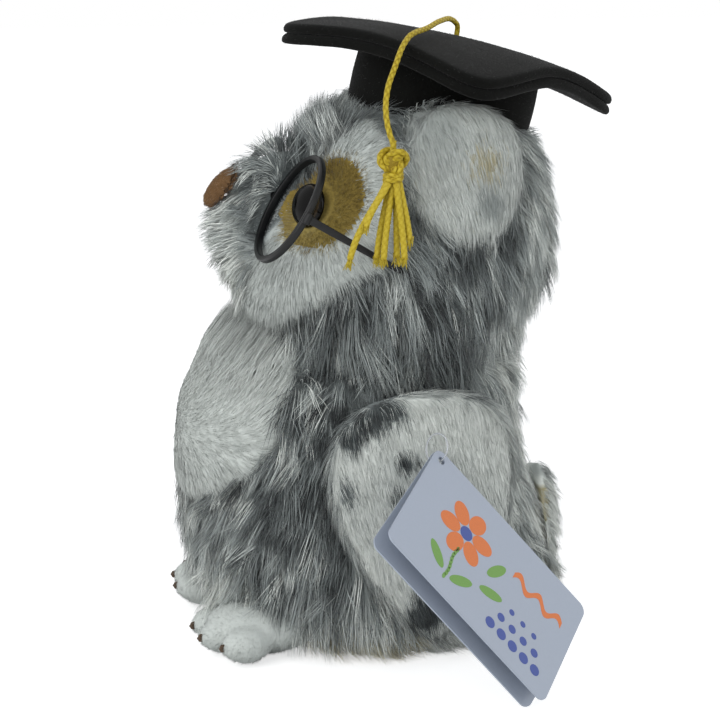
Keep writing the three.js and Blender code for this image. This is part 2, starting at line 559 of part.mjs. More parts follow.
// The tassel cord: up from the middle of the board, over its edge and down to the knot. Its points are
// shares of the board's half diagonal, in the board's own frame.
const cordShares = [
  [0.016, -0.011, 0.108], [0.073, -0.062, 0.131], [0.249, -0.151, 0.107], [0.432, -0.243, 0.055],
  [0.587, -0.330, 0.015], [0.648, -0.362, -0.010], [0.738, -0.399, -0.071], [0.841, -0.429, -0.170],
  [0.929, -0.454, -0.278], [0.991, -0.451, -0.377], [1.028, -0.424, -0.464], [1.048, -0.383, -0.538]];
const onBoard = (point) => new THREE.Vector3(...point).applyMatrix4(capPlace);
const cordPoints = cordShares.map((shares) => onBoard(shares.map((share) => share * cap.halfDiagonal)));
const cordStart = [onBoard([0, 0, cap.ply / 2]), onBoard([0, 0, cord.rise])];
const cordCurve = new THREE.CatmullRomCurve3([...cordStart, ...cordPoints], false, 'centripetal');

function tube(curve, radius, from, to, steps) {
  const points = Array.from({ length: steps + 1 }, (_, k) => curve.getPointAt(from + ((to - from) * k) / steps));
  const extrudePath = new THREE.CatmullRomCurve3(points);
  const round = circleShape(radius, facets.cordSides);
  return solid(new THREE.ExtrudeGeometry(round, { steps, bevelEnabled: false, extrudePath }));
}
const dropShare = cord.edgeShare + gap / cordCurve.getLength();
add('tassel_cord_top', tube(cordCurve, cord.radius, 0, cord.edgeShare, facets.cordTop), yellowCord(), headGroup);
add('tassel_cord_drop', tube(cordCurve, cord.radius, dropShare, 1, facets.cordDrop), yellowCord(), headGroup);

const knotPlace = cordCurve.getPointAt(1).add(new THREE.Vector3(0, 0, -knot.halfHeight - gap));
function knotForm() {
  const geometry = new THREE.SphereGeometry(1, ...facing('knot'));
  const place = geometry.attributes.position;
  const point = new THREE.Vector3();
  for (let i = 0; i < place.count; i++) {
    point.fromBufferAttribute(place, i);
    const wave = Math.sin(knot.lobes * Math.atan2(point.z, point.x) + Math.PI * point.y);
    const reach = knot.radius * (1 + knot.lobeShare * wave * (1 - point.y * point.y));
    place.setXYZ(i, point.x * reach, point.z * reach, -point.y * knot.halfHeight);
  }
  return solid(geometry, shift(...knotPlace));
}
add('tassel_knot', knotForm(), yellowCord(), headGroup);

// The strands under the knot, one in the middle and the rest round it, spread in the plane that the
// board's edge swings through. Each one's end is [along that plane, out of it, down], as shares.
const spreadAcross = alongX.clone().applyMatrix4(aboutZ(strand.spreadTurn));
const spreadOut = alongY.clone().negate().applyMatrix4(aboutZ(strand.spreadTurn));
const strandShares = [
  [-0.11, 0.03, 0.97], [0.2, 0.02, 0.74], [0.14, 0.08, 0.96], [-0.33, 0.12, 0.56], [-0.52, 0, 1],
  [-0.19, -0.08, 0.98], [0.05, -0.08, 0.97]];
strandShares.forEach((shares, k) => {
  const ring = k === 0 ? 0 : strand.ring;
  const angle = (2 * Math.PI * (k - 1)) / (strandShares.length - 1);
  const leave = knot.halfHeight * Math.sqrt(1 - (ring / knot.radius) ** 2) + gap * 2;
  const start = new THREE.Vector3(ring * Math.cos(angle), ring * Math.sin(angle), leave);
  const [across, out, down] = shares.map((share) => share * strand.length);
  const end = new THREE.Vector3(across, out, leave + down);
  const bow = new THREE.Vector3(
    start.x + (end.x - start.x) * strand.bowShare,
    start.y + (end.y - start.y) * strand.bowShare,
    leave + down * (1 - strand.bowShare));
  const hung = (p) => knotPlace.clone().addScaledVector(spreadAcross, p.x).addScaledVector(spreadOut, p.y)
    .addScaledVector(alongZ, -p.z);
  const extrudePath = new THREE.QuadraticBezierCurve3(hung(start), hung(bow), hung(end));
  const round = circleShape(strand.radius, facets.cordSides);
  const braid = new THREE.ExtrudeGeometry(round, { steps: facets.strand, bevelEnabled: false, extrudePath });
  add(`tassel_strand_${k + 1}`, solid(braid), yellowCord(), headGroup);
});

// The hang tag: a folded card of two leaves, on a ring sewn to the wing
const tagLongShares = [0.108, 0.652, -0.75];
const tagOutShares = [0.625, 0.542, 0.561];
const tagLong = new THREE.Vector3(...tagLongShares).normalize();
const tagOut = new THREE.Vector3(...tagOutShares).projectOnPlane(tagLong).normalize();
const tagShort = new THREE.Vector3().crossVectors(tagLong, tagOut);
const ringUp = tagLong.clone().add(tagShort).normalize().negate();
const ringSide = new THREE.Vector3().crossVectors(ringUp, tagOut);
const ringHeight = tag.heightShare * body.height;
const ringReach = tag.ringRadius * Math.hypot(ringUp.x, tagOut.x) + tag.wire;
const wingSide = sideReach(bodySize, bodyRowShares, tag.back, ringHeight, wingOuter);
const ringMiddle = new THREE.Vector3(wingSide + gap + ringReach, tag.back, ringHeight);
const ringPlace = new THREE.Matrix4().makeBasis(ringUp, tagOut, ringSide).setPosition(ringMiddle);
const tagRing = new THREE.TorusGeometry(tag.ringRadius, tag.wire, facets.wireSides, facets.wireRound);
add('tag_ring', solid(tagRing, ringPlace), clearPlastic());

function leafShape() {
  const { cornerRadius: r, width: w, length: l, holeInset } = tag;
  const quarter = Math.PI / 2;
  const shape = new THREE.Shape();
  shape.moveTo(r, 0);
  shape.lineTo(w - r, 0);
  shape.absarc(w - r, r, r, -quarter, 0);
  shape.lineTo(w, l - r);
  shape.absarc(w - r, l - r, r, 0, quarter);
  shape.lineTo(r, l);
  shape.absarc(r, l - r, r, quarter, 2 * quarter);
  shape.lineTo(0, r);
  shape.absarc(r, r, r, 2 * quarter, 3 * quarter);
  shape.holes.push(new THREE.Path().absarc(holeInset, holeInset, tag.holeRadius, 0, 4 * quarter, true));
  return shape;
}
const tagHole = ringMiddle.clone().addScaledVector(ringUp, -tag.ringRadius);
const tagCorner = tagHole.clone()
  .addScaledVector(tagLong, -tag.holeInset).addScaledVector(tagShort, -tag.holeInset);
const tagPlace = new THREE.Matrix4().makeBasis(tagShort, tagLong, tagOut).setPosition(tagCorner);
const leafSheet = { depth: tag.thickness, bevelEnabled: false, curveSegments: facets.corner };
const leaf = (opening, from) => solid(
  new THREE.ExtrudeGeometry(leafShape(), leafSheet), placed(tagPlace, aboutY(opening), shift(0, 0, from)));
add('tag_front_leaf', leaf(0, gap / 2), card());
add('tag_back_leaf', leaf(tag.opening, -tag.thickness - gap / 2), card());

export default owl;
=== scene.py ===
"""The plush owl's looks: fur, felt, plastic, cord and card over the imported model.

Places follow the model's own frame, in metres, +Z up, the owl facing -Y with its head turned a
little to its left. A size in millimetres is multiplied by MM.
"""

import logging
import math
from collections.abc import Callable, Iterable, Sequence
from dataclasses import dataclass, field, replace
from enum import Enum

import bmesh
import bpy
import numpy as np
from mathutils import Matrix, Vector, noise
from mathutils.bvhtree import BVHTree
from mathutils.kdtree import KDTree


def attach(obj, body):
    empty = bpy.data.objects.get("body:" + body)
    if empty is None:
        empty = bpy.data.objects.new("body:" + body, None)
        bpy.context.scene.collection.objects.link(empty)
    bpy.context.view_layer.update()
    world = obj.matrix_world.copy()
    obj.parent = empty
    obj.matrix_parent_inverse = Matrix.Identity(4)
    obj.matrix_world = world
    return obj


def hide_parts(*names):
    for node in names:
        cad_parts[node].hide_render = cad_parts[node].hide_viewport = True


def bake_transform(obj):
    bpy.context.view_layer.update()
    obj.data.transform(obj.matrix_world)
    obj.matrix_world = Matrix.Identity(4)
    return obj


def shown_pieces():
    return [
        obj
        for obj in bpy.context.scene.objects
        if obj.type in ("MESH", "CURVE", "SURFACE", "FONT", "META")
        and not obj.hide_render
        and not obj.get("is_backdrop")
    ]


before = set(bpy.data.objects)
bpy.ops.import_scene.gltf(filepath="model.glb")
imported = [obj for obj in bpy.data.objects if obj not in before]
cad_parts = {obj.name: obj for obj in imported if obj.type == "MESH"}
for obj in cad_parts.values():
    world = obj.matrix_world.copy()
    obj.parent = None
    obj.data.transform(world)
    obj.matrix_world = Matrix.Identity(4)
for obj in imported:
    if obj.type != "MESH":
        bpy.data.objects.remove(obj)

for spare in ("Cube", "Light", "Camera"):
    if spare in bpy.data.objects:
        bpy.data.objects.remove(bpy.data.objects[spare])

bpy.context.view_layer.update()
MM = 0.001
Z = Vector((0, 0, 1))
SEED = 41
HEAD_TURN = Matrix.Rotation(math.radians(6), 4, "Z")

log = logging.getLogger("owl")

Colour = tuple[float, float, float, float]
Point = tuple[float, float, float]
Rows = np.ndarray
Mesh = bmesh.types.BMesh
Object = bpy.types.Object
Socket = bpy.types.NodeSocket
Shape = Callable[[float, float], float]


class Body(Enum):
    """The bodies of the model that pieces ride on."""

    BODY = "body"
    HEAD = "head"
    TASSEL = "tassel"
    WING_LEFT = "wing_left"
    WING_RIGHT = "wing_right"
    TAG = "tag"
    TAG_FRONT = "tag_front"


class Side(Enum):
    """The owl's two sides, as the sign of X on each."""

    LEFT = 1
    RIGHT = -1

    @property
    def word(self) -> str:
        """The side's name inside piece names."""
        return self.name.lower()

    @property
    def mirror(self) -> Matrix:
        """What carries a shape made for the left over to this side."""
        return Matrix.Scale(float(self.value), 4, (1, 0, 0))

    @property
    def wing(self) -> Body:
        """The body of this side's wing."""
        return Body.WING_LEFT if self is Side.LEFT else Body.WING_RIGHT


def paint(red: float, green: float, blue: float) -> Colour:
    """A colour as it shows on screen, 0 to 255, made linear."""
    levels = (channel / 255 for channel in (red, green, blue))
    return tuple(c / 12.92 if c <= 0.04045 else ((c + 0.055) / 1.055) ** 2.4 for c in levels) + (1.0,)


def place(axes: Sequence[float], at: Sequence[float]) -> Matrix:
    """A place from its three axes and its middle in millimetres.

    Args:
        axes: The X, Y and Z axes, three numbers each.
        at: The middle, in millimetres.

    Returns:
        The matrix, in metres.
    """
    x, y, z = axes[0:3], axes[3:6], axes[6:9]
    rows = [(x[i], y[i], z[i], at[i] * MM) for i in range(3)]
    return Matrix((*rows, (0, 0, 0, 1)))


# Materials


class Graph:
    """A material's node graph, with its shader and output joined."""

    def __init__(self, name: str) -> None:
        """Starts an empty graph.

        Args:
            name: The material's name.
        """
        self.material = bpy.data.materials.new(name)
        self.material.use_nodes = True
        self.tree = self.material.node_tree
        self.tree.nodes.clear()
        output = self.node("ShaderNodeOutputMaterial")
        self.shader = self.node("ShaderNodeBsdfPrincipled")
        self.link(self.shader.outputs["BSDF"], output.inputs["Surface"])

    def node(self, kind: str, **settings: object) -> bpy.types.Node:
        """Adds a node and sets its options."""
        made = self.tree.nodes.new(kind)
        for key, value in settings.items():
            setattr(made, key, value)
        return made

    def link(self, source: Socket, target: Socket) -> None:
        """Joins two sockets."""
        self.tree.links.new(source, target)

    def feed(self, value: object, target: Socket) -> None:
        """Links a socket, or sets a plain value, on the target."""
        if isinstance(value, Socket):
            self.link(value, target)
        else:
            target.default_value = value

    def shade(self, **values: object) -> None:
        """Sets or links the shader's own sockets by name, with _ for a space."""
        for key, value in values.items():
            self.feed(value, self.shader.inputs[key.replace("_", " ")])

    def spot(self, scale: Sequence[float] = (1, 1, 1), turn: Sequence[float] = (0, 0, 0)) -> Socket:
        """Object coordinates, stretched and turned by a Mapping node."""
        source = self.node("ShaderNodeTexCoord")
        mapping = self.node("ShaderNodeMapping")
        self.link(source.outputs["Object"], mapping.inputs["Vector"])
        mapping.inputs["Scale"].default_value = scale
        mapping.inputs["Rotation"].default_value = turn
        return mapping.outputs["Vector"]

    def attribute(self, name: str) -> Socket:
        """A number kept on the mesh's points."""
        return self.node("ShaderNodeAttribute", attribute_name=name).outputs["Fac"]

    def cloud(self, vector: Socket, scale: float, detail: float = 2, rough: float = 0.5) -> Socket:
        """Noise between 0 and 1.

        Args:
            vector: Where it is read.
            scale: How many lumps to a metre.
            detail: How many finer layers.
            rough: How strong the finer layers are.

        Returns:
            The noise's factor.
        """
        made = self.node("ShaderNodeTexNoise")
        self.link(vector, made.inputs["Vector"])
        made.inputs["Scale"].default_value = scale
        made.inputs["Detail"].default_value = detail
        made.inputs["Roughness"].default_value = rough
        return made.outputs["Fac"]

    def ramp(self, value: object, stops: Sequence[tuple[float, Colour]]) -> Socket:
        """A colour for each value between 0 and 1."""
        made = self.node("ShaderNodeValToRGB")
        elements = made.color_ramp.elements
        while len(elements) < len(stops):
            elements.new(0.5)
        for element, (at, colour) in zip(elements, stops):
            element.position = at
            element.color = colour
        self.feed(value, made.inputs["Fac"])
        return made.outputs["Color"]

    def level(
        self, value: object, low: float, high: float, to_low: float = 0, to_high: float = 1
    ) -> Socket:
        """The value's range carried over to another, clamped."""
        made = self.node("ShaderNodeMapRange")
        self.feed(value, made.inputs["Value"])
        for key, number in zip(("From Min", "From Max", "To Min", "To Max"), (low, high, to_low, to_high)):
            made.inputs[key].default_value = number
        return made.outputs["Result"]

    def mix(self, share: object, first: object, second: object, blend: str = "MIX") -> Socket:
        """One colour laid over another by a share."""
        made = self.node("ShaderNodeMix", data_type="RGBA", blend_type=blend)
        self.feed(share, made.inputs[0])
        self.feed(first, made.inputs[6])
        self.feed(second, made.inputs[7])
        return made.outputs[2]

    def sum(self, kind: str, first: object, second: object = 0.0) -> Socket:
        """One step of arithmetic."""
        made = self.node("ShaderNodeMath", operation=kind)
        self.feed(first, made.inputs[0])
        self.feed(second, made.inputs[1])
        return made.outputs[0]

    def dimmed(self, colour: Socket, share: Socket) -> Socket:
        """A colour times a share."""
        made = self.node("ShaderNodeVectorMath", operation="SCALE")
        self.link(colour, made.inputs[0])
        self.link(share, made.inputs["Scale"])
        return made.outputs[0]

    def bump(self, height: object, depth: float, strength: float = 1.0, over: object = None) -> None:
        """Raises the surface, over an earlier relief where one is given."""
        made = self.node("ShaderNodeBump")
        self.feed(height, made.inputs["Height"])
        made.inputs["Distance"].default_value = depth
        made.inputs["Strength"].default_value = strength
        if over is not None:
            self.link(over, made.inputs["Normal"])
        self.relief = made.outputs["Normal"]
        self.link(self.relief, self.shader.inputs["Normal"])


class Finish:
    """Something a piece is made of, whose material is made once."""

    _made: dict["Finish", bpy.types.Material] = {}

    def material(self) -> bpy.types.Material:
        """The finish's material."""
        if self not in Finish._made:
            Finish._made[self] = self.dress()
        return Finish._made[self]

    def dress(self) -> bpy.types.Material:
        """Makes the material."""
        raise NotImplementedError


@dataclass(frozen=True)
class Fur(Finish):
    """Pile whose colour goes by each strand's tone, darker at its root and frosted at its tip."""

    name: str
    slot: str
    stops: tuple[tuple[float, Colour], ...]
    root: float = 0.6
    frost: float = 1.0
    roughness: float = 0.7

    def dress(self) -> bpy.types.Material:
        """Makes the material."""
        graph = Graph(self.name)
        source = graph.node("ShaderNodeUVMap", uv_map="OFBake")
        parts = graph.node("ShaderNodeSeparateXYZ")
        graph.link(source.outputs["UV"], parts.inputs[0])
        tone = graph.ramp(parts.outputs[0], self.stops)
        dark = graph.level(parts.outputs[1], 0.0, 0.55, self.root, 1.0)
        pale = graph.level(parts.outputs[1], 0.45, 1.0, 1.0, self.frost)
        colour = graph.dimmed(tone, graph.sum("MULTIPLY", dark, pale))
        graph.shade(Base_Color=colour, Roughness=self.roughness)
        graph.shade(Specular_IOR_Level=0.2, Sheen_Weight=0.15, Sheen_Roughness=0.5)
        return graph.material


@dataclass(frozen=True)
class Backing(Finish):
    """The knitted cloth that the pile grows from, seen only between strands."""

    name: str
    slot: str
    stops: tuple[tuple[float, Colour], ...]
    shade_share: float = 0.55

    def dress(self) -> bpy.types.Material:
        """Makes the material."""
        graph = Graph(self.name)
        spot = graph.spot()
        tone = graph.ramp(graph.attribute("tone"), self.stops)
        knit = graph.node("ShaderNodeTexWave", wave_type="BANDS", bands_direction="Z")
        graph.link(spot, knit.inputs["Vector"])
        knit.inputs["Scale"].default_value = 160
        knit.inputs["Distortion"].default_value = 4
        knit.inputs["Detail Scale"].default_value = 3
        shade = graph.level(graph.cloud(spot, 900, 3), 0.3, 0.7, self.shade_share * 0.75, self.shade_share)
        graph.shade(Base_Color=graph.dimmed(tone, shade), Roughness=0.95, Specular_IOR_Level=0.1)
        graph.bump(knit.outputs["Fac"], 0.25 * MM, 0.6)
        return graph.material


@dataclass(frozen=True)
class Plush(Finish):
    """The close ground of short white pile, with its fine hairs lying down it."""

    name: str = "white_plush_ground"
    slot: str = "white_plush"
    stops: tuple[tuple[float, Colour], ...] = ()

    def dress(self) -> bpy.types.Material:
        """Makes the material."""
        graph = Graph(self.name)
        tone = graph.ramp(graph.attribute("tone"), self.stops)
        hairs = graph.cloud(graph.spot((1, 1, 0.12), (0.1, 0, 0.2)), 1500, 3, 0.6)
        drift = graph.cloud(graph.spot((1, 1, 0.5)), 70, 3)
        fine, broad = graph.level(hairs, 0.3, 0.7, 0.90, 1.0), graph.level(drift, 0.3, 0.7, 0.95, 1.0)
        colour = graph.dimmed(tone, graph.sum("MULTIPLY", fine, broad))
        graph.shade(Base_Color=colour, Roughness=0.9, Specular_IOR_Level=0.1, Sheen_Weight=0.15)
        graph.bump(hairs, 0.15 * MM, 0.4)
        return graph.material


@dataclass(frozen=True)
class Felt(Finish):
    """Pressed wool, with its fibres lying every way and a little lint."""

    name: str = "black_felt"
    slot: str = "felt"
    colour: Colour = paint(6, 6, 5)
    lint: Colour = paint(44, 46, 42)

    def dress(self) -> bpy.types.Material:
        """Makes the material."""
        graph = Graph(self.name)
        wool = graph.cloud(graph.spot((1, 1, 1)), 700, 6, 0.7)
        blotch = graph.cloud(graph.spot((1, 1, 1)), 60, 3)
        streaks = graph.cloud(graph.spot((1, 9, 3), (0.3, 0.7, 0.4)), 260, 4, 0.8)
        others = graph.cloud(graph.spot((8, 1, 3), (0.9, 0.2, 1.1)), 260, 4, 0.8)
        specks = graph.sum("MAXIMUM", streaks, others)
        stray = graph.level(specks, 0.69, 0.78, 0, 0.55)
        base = graph.mix(graph.level(wool, 0.35, 0.75), self.colour, paint(14, 15, 13))
        base = graph.mix(graph.level(blotch, 0.4, 0.7, 0, 0.35), base, paint(16, 17, 15))
        graph.shade(Base_Color=graph.mix(stray, base, self.lint), Roughness=0.97)
        graph.shade(Specular_IOR_Level=0.12, Sheen_Weight=0.05, Sheen_Roughness=0.45)
        graph.bump(graph.sum("ADD", wool, specks), 0.3 * MM, 0.5)
        return graph.material


@dataclass(frozen=True)
class Cloth(Finish):
    """Plain woven cloth, over and under, with painted shade between its threads."""

    name: str
    slot: str
    colour: Colour
    threads: float = 1500.0

    def dress(self) -> bpy.types.Material:
        """Makes the material."""
        graph = Graph(self.name)
        waves = []
        for turn in (0.0, math.pi / 2):
            wave = graph.node("ShaderNodeTexWave", wave_type="BANDS", bands_direction="X")
            graph.link(graph.spot(turn=(0, 0, turn)), wave.inputs["Vector"])
            wave.inputs["Scale"].default_value = self.threads / 10
            waves.append(wave.outputs["Fac"])
        weave = graph.sum("MAXIMUM", *waves)
        age = graph.cloud(graph.spot(), 40, 3)
        # Painted shade: the cloth is drawn darker between the threads, where the weave dips.
        weave_shaded = graph.mix(graph.level(weave, 0.2, 1, 0.35, 0), self.colour, paint(110, 108, 98))
        graph.shade(Base_Color=graph.mix(graph.level(age, 0.4, 0.7, 0, 0.12), weave_shaded, paint(120, 116, 102)))
        graph.shade(Roughness=0.9, Specular_IOR_Level=0.2, Sheen_Weight=0.1)
        graph.bump(weave, 0.2 * MM, 0.6)
        return graph.material


@dataclass(frozen=True)
class Braid(Finish):
    """Yellow rayon braid, with painted shade between its plaits, a painted highlight on their ridges and fine
    paler threads along each.
    """

    name: str = "yellow_braid"
    slot: str = "yellow_cord"
    colour: Colour = paint(164, 140, 22)
    groove: Colour = paint(98, 74, 4)
    pale: Colour = paint(196, 176, 58)

    def dress(self) -> bpy.types.Material:
        """Makes the material."""
        graph = Graph(self.name)
        high = graph.attribute("height")
        fine = graph.cloud(graph.spot(), 2600, 3, 0.6)
        drift = graph.cloud(graph.spot(), 90, 2)
        # Painted shade in the grooves between the plaits and a painted highlight on their ridges, read from
        # each point's height; the pale colour also tints the fine threads.
        base = graph.ramp(high, ((0.0, self.groove), (0.6, self.colour), (1.0, self.pale)))
        base = graph.mix(graph.level(fine, 0.5, 0.75, 0, 0.45), base, self.pale)
        base = graph.mix(graph.level(drift, 0.35, 0.7, 0, 0.3), base, paint(172, 152, 40))
        graph.shade(Base_Color=base, Roughness=0.55, Specular_IOR_Level=0.22)
        graph.shade(Sheen_Weight=0.05, Sheen_Roughness=0.3)
        graph.bump(fine, 0.12 * MM, 0.5)
        return graph.material


@dataclass(frozen=True)
class Moulded(Finish):
    """Moulded plastic, with a faint orange-peel skin and handling marks."""

    name: str
    slot: str
    colour: Colour
    roughness: float = 0.32
    clear: float = 0.0

    def dress(self) -> bpy.types.Material:
        """Makes the material."""
        graph = Graph(self.name)
        peel = graph.cloud(graph.spot(), 420, 2)
        marks = graph.cloud(graph.spot((1, 1, 6)), 130, 4, 0.65)
        worn = tuple(min(1.0, c * 1.35 + 0.004) for c in self.colour[:3]) + (1.0,)
        graph.shade(Base_Color=graph.mix(graph.level(marks, 0.5, 0.75, 0, 0.5), self.colour, worn))
        graph.shade(Roughness=graph.level(marks, 0.3, 0.7, self.roughness * 0.85, self.roughness * 1.3))
        graph.shade(IOR=1.49, Transmission_Weight=self.clear, Specular_IOR_Level=0.5 if self.clear else 0.3)
        graph.bump(peel, 0.04 * MM, 0.25)
        return graph.material


@dataclass(frozen=True)
class Glass(Finish):
    """The eye: a black pupil in a thin amber ring under a clear polished dome."""

    name: str = "eye_glass"
    slot: str = "eye_plastic"

    def dress(self) -> bpy.types.Material:
        """Makes the material."""
        graph = Graph(self.name)
        out = graph.attribute("out")
        flecks = graph.level(graph.cloud(graph.spot(), 1400, 3, 0.7), 0.3, 0.7, -0.02, 0.02)
        # The ring is the eye's own amber iris, darkened to dark brown and darkest at its outer edge as painted
        # shade beside the pupil.
        stops = (
            (0.0, paint(3, 3, 3)), (0.84, paint(4, 4, 4)), (0.865, paint(40, 32, 20)),
            (0.90, paint(50, 40, 26)), (0.92, paint(22, 18, 11)), (0.945, paint(6, 5, 5)),
            (1.0, paint(4, 4, 4)))
        graph.shade(Base_Color=graph.ramp(graph.sum("ADD", out, flecks), stops), Roughness=0.16)
        graph.shade(Coat_Weight=0.12, Coat_Roughness=0.03, Specular_IOR_Level=0.08)
        return graph.material


@dataclass(frozen=True)
class Card(Finish):
    """White coated card, with the least of a grain and faint grey clouds."""

    name: str = "white_card"
    slot: str = "card"
    colour: Colour = paint(160, 169, 184)

    def dress(self) -> bpy.types.Material:
        """Makes the material."""
        graph = Graph(self.name)
        grain = graph.cloud(graph.spot(), 900, 5, 0.7)
        cloud = graph.cloud(graph.spot(), 30, 2)
        base = graph.mix(graph.level(grain, 0.4, 0.7, 0, 0.10), self.colour, paint(138, 147, 164))
        base = graph.mix(graph.level(cloud, 0.4, 0.7, 0, 0.08), base, paint(152, 157, 162))
        graph.shade(Base_Color=base, Roughness=graph.level(grain, 0.3, 0.7, 0.30, 0.42))
        graph.shade(Coat_Weight=0.25, Coat_Roughness=0.12)
        graph.bump(grain, 0.02 * MM, 0.2)
        return graph.material


@dataclass(frozen=True)
class Ink(Finish):
    """A solid printed colour on the card, very slightly mottled."""

    name: str
    colour: Colour
    slot: str = "card"

    def dress(self) -> bpy.types.Material:
        """Makes the material."""
        graph = Graph(self.name)
        rosette = graph.cloud(graph.spot(), 2600, 2)
        deep = tuple(c * 0.82 for c in self.colour[:3]) + (1.0,)
        graph.shade(Base_Color=graph.mix(graph.level(rosette, 0.35, 0.7, 0, 0.6), self.colour, deep))
        graph.shade(Roughness=0.34, Coat_Weight=0.25, Coat_Roughness=0.12)
        return graph.material


@dataclass(frozen=True)
class Thread(Finish):
    """Satin stitches, laid side by side across the claw."""

    name: str = "claw_thread"
    slot: str = "brown_plush"
    colour: Colour = paint(50, 38, 25)

    def dress(self) -> bpy.types.Material:
        """Makes the material."""
        graph = Graph(self.name)
        fine = graph.cloud(graph.spot(), 3000, 2)
        graph.shade(Base_Color=graph.mix(graph.level(fine, 0.35, 0.7), self.colour, paint(92, 70, 48)))
        graph.shade(Roughness=0.45, Specular_IOR_Level=0.4)
        graph.bump(fine, 0.08 * MM, 0.5)
        return graph.material


GREY_STOPS = (
    (0.0, paint(40, 43, 44)), (0.25, paint(92, 98, 98)), (0.5, paint(146, 153, 152)),
    (0.75, paint(200, 206, 202)), (0.9, paint(240, 244, 238)), (0.93, paint(178, 170, 134)),
    (1.0, paint(212, 206, 178)))
TAN_STOPS = ((0.0, paint(112, 92, 40)), (0.5, paint(156, 136, 72)), (1.0, paint(190, 176, 118)))
BROWN_STOPS = ((0.0, paint(84, 58, 34)), (0.5, paint(132, 100, 68)), (1.0, paint(172, 140, 104)))

FELT_STOPS = ((0.0, paint(7, 7, 6)), (0.5, paint(24, 25, 23)), (1.0, paint(120, 122, 118)))

GREY_FUR = Fur("grey_white_pile", "grey_plush", GREY_STOPS, root=0.5, frost=1.35)
WHITE_FUR = Fur("white_pile", "white_plush", GREY_STOPS, root=0.97)
TAN_FUR = Fur("tan_pile", "tan_plush", TAN_STOPS, root=0.75)
BROWN_FUR = Fur("brown_pile", "brown_plush", BROWN_STOPS, root=0.75)
FELT_FIBRE = Fur("felt_fibres", "felt", FELT_STOPS, root=1.0)
GREY_BACKING = Backing("grey_backing", "grey_plush", GREY_STOPS, 0.85)
WHITE_BACKING = Plush(stops=GREY_STOPS)
TAN_BACKING = Backing("tan_backing", "tan_plush", TAN_STOPS, 0.9)
BROWN_BACKING = Backing("brown_backing", "brown_plush", BROWN_STOPS, 0.7)
BASE_CLOTH = Cloth("base_cloth", "white_plush", paint(196, 196, 184))
FELT = Felt()
BRAID = Braid()
BLACK_PLASTIC = Moulded("black_plastic", "black_plastic", paint(13, 14, 15), 0.36)
WHITE_PLASTIC = Moulded("white_plastic", "white_plastic", paint(196, 198, 196), 0.4)
CLEAR_PLASTIC = Moulded("clear_plastic", "clear_plastic", paint(214, 218, 222), 0.2, clear=0.55)
EYE_GLASS = Glass()
CARD = Card()
CLAW_THREAD = Thread()


# Meshes


def piece(mesh: Mesh, name: str, *finishes: Finish, smooth: bool = True) -> Object:
    """Makes an object of a finished mesh, and frees the mesh.

    Args:
        mesh: The mesh, already in its place.
        name: The piece's name.
        finishes: What it is made of, in the order of its material numbers.
        smooth: Whether its faces are shaded smooth.

    Returns:
        The object.
    """
    data = bpy.data.meshes.new(name)
    for face in mesh.faces:
        face.smooth = smooth
    mesh.to_mesh(data)
    mesh.free()
    for finish in finishes:
        data.materials.append(finish.material())
    made = bpy.data.objects.new(name, data)
    bpy.context.scene.collection.objects.link(made)
    return made


def fitted(made: Object, body: Body, replaces: Sequence[str] = ()) -> Object:
    """Puts a finished piece on its body and the nodes that it stands for."""
    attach(made, body.value)
    if replaces:
        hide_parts(*replaces)
    log.info("%s: %d faces on %s", made.name, len(made.data.polygons), body.value)
    return made


def smoothed(mesh: Mesh, rounds: int = 1) -> Mesh:
    """The mesh, each corner drawn half-way to its neighbours a number of times."""
    for _ in range(rounds):
        bmesh.ops.smooth_vert(
            mesh, verts=mesh.verts, factor=0.5, use_axis_x=True, use_axis_y=True, use_axis_z=True)
    return mesh


def add(part: Mesh, whole: Mesh) -> None:
    """Adds one mesh to another, and frees it."""
    data = bpy.data.meshes.new("part")
    part.to_mesh(data)
    part.free()
    whole.from_mesh(data)
    bpy.data.meshes.remove(data)


def corners_of(mesh: Mesh) -> tuple[Rows, Rows]:
    """A mesh's corners, in millimetres, and their normals."""
    return np.array([tuple(v.co) for v in mesh.verts]) / MM, np.array([tuple(v.normal) for v in mesh.verts])


def cad_copy(nodes: Iterable[str]) -> Mesh:
    """The nodes' solids in one mesh, each one's loose triangles merged."""
    mesh = bmesh.new()
    for node in nodes:
        part = bmesh.new()
        part.from_mesh(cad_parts[node].data)
        bmesh.ops.remove_doubles(part, verts=part.verts, dist=0.005 * MM)
        add(part, mesh)
    return mesh


def evened(mesh: Mesh, size: float, rounds: int) -> Mesh:
    """The mesh made again of even faces, and smoothed.

    Args:
        mesh: What is made again; it is freed.
        size: The side of a face, in metres.
        rounds: How many times it is smoothed.

    Returns:
        The new mesh.
    """
    holder = piece(mesh, "holder", CARD)
    even = holder.modifiers.new("even", "REMESH")
    even.mode = "VOXEL"
    even.voxel_size = size
    bpy.context.view_layer.update()
    made = bmesh.new()
    made.from_object(holder, bpy.context.evaluated_depsgraph_get())
    data = holder.data
    bpy.data.objects.remove(holder)
    bpy.data.meshes.remove(data)
    return smoothed(made, rounds)


def in_order(mesh: Mesh) -> None:
    """Sorts a mesh's corners and faces by place, which bevels and spins leave in any order."""
    across = Vector((0.83, 0.47, 0.29))
    mesh.verts.sort(key=lambda v: v.co.dot(across))
    mesh.faces.sort(key=lambda f: f.calc_center_median().dot(across))


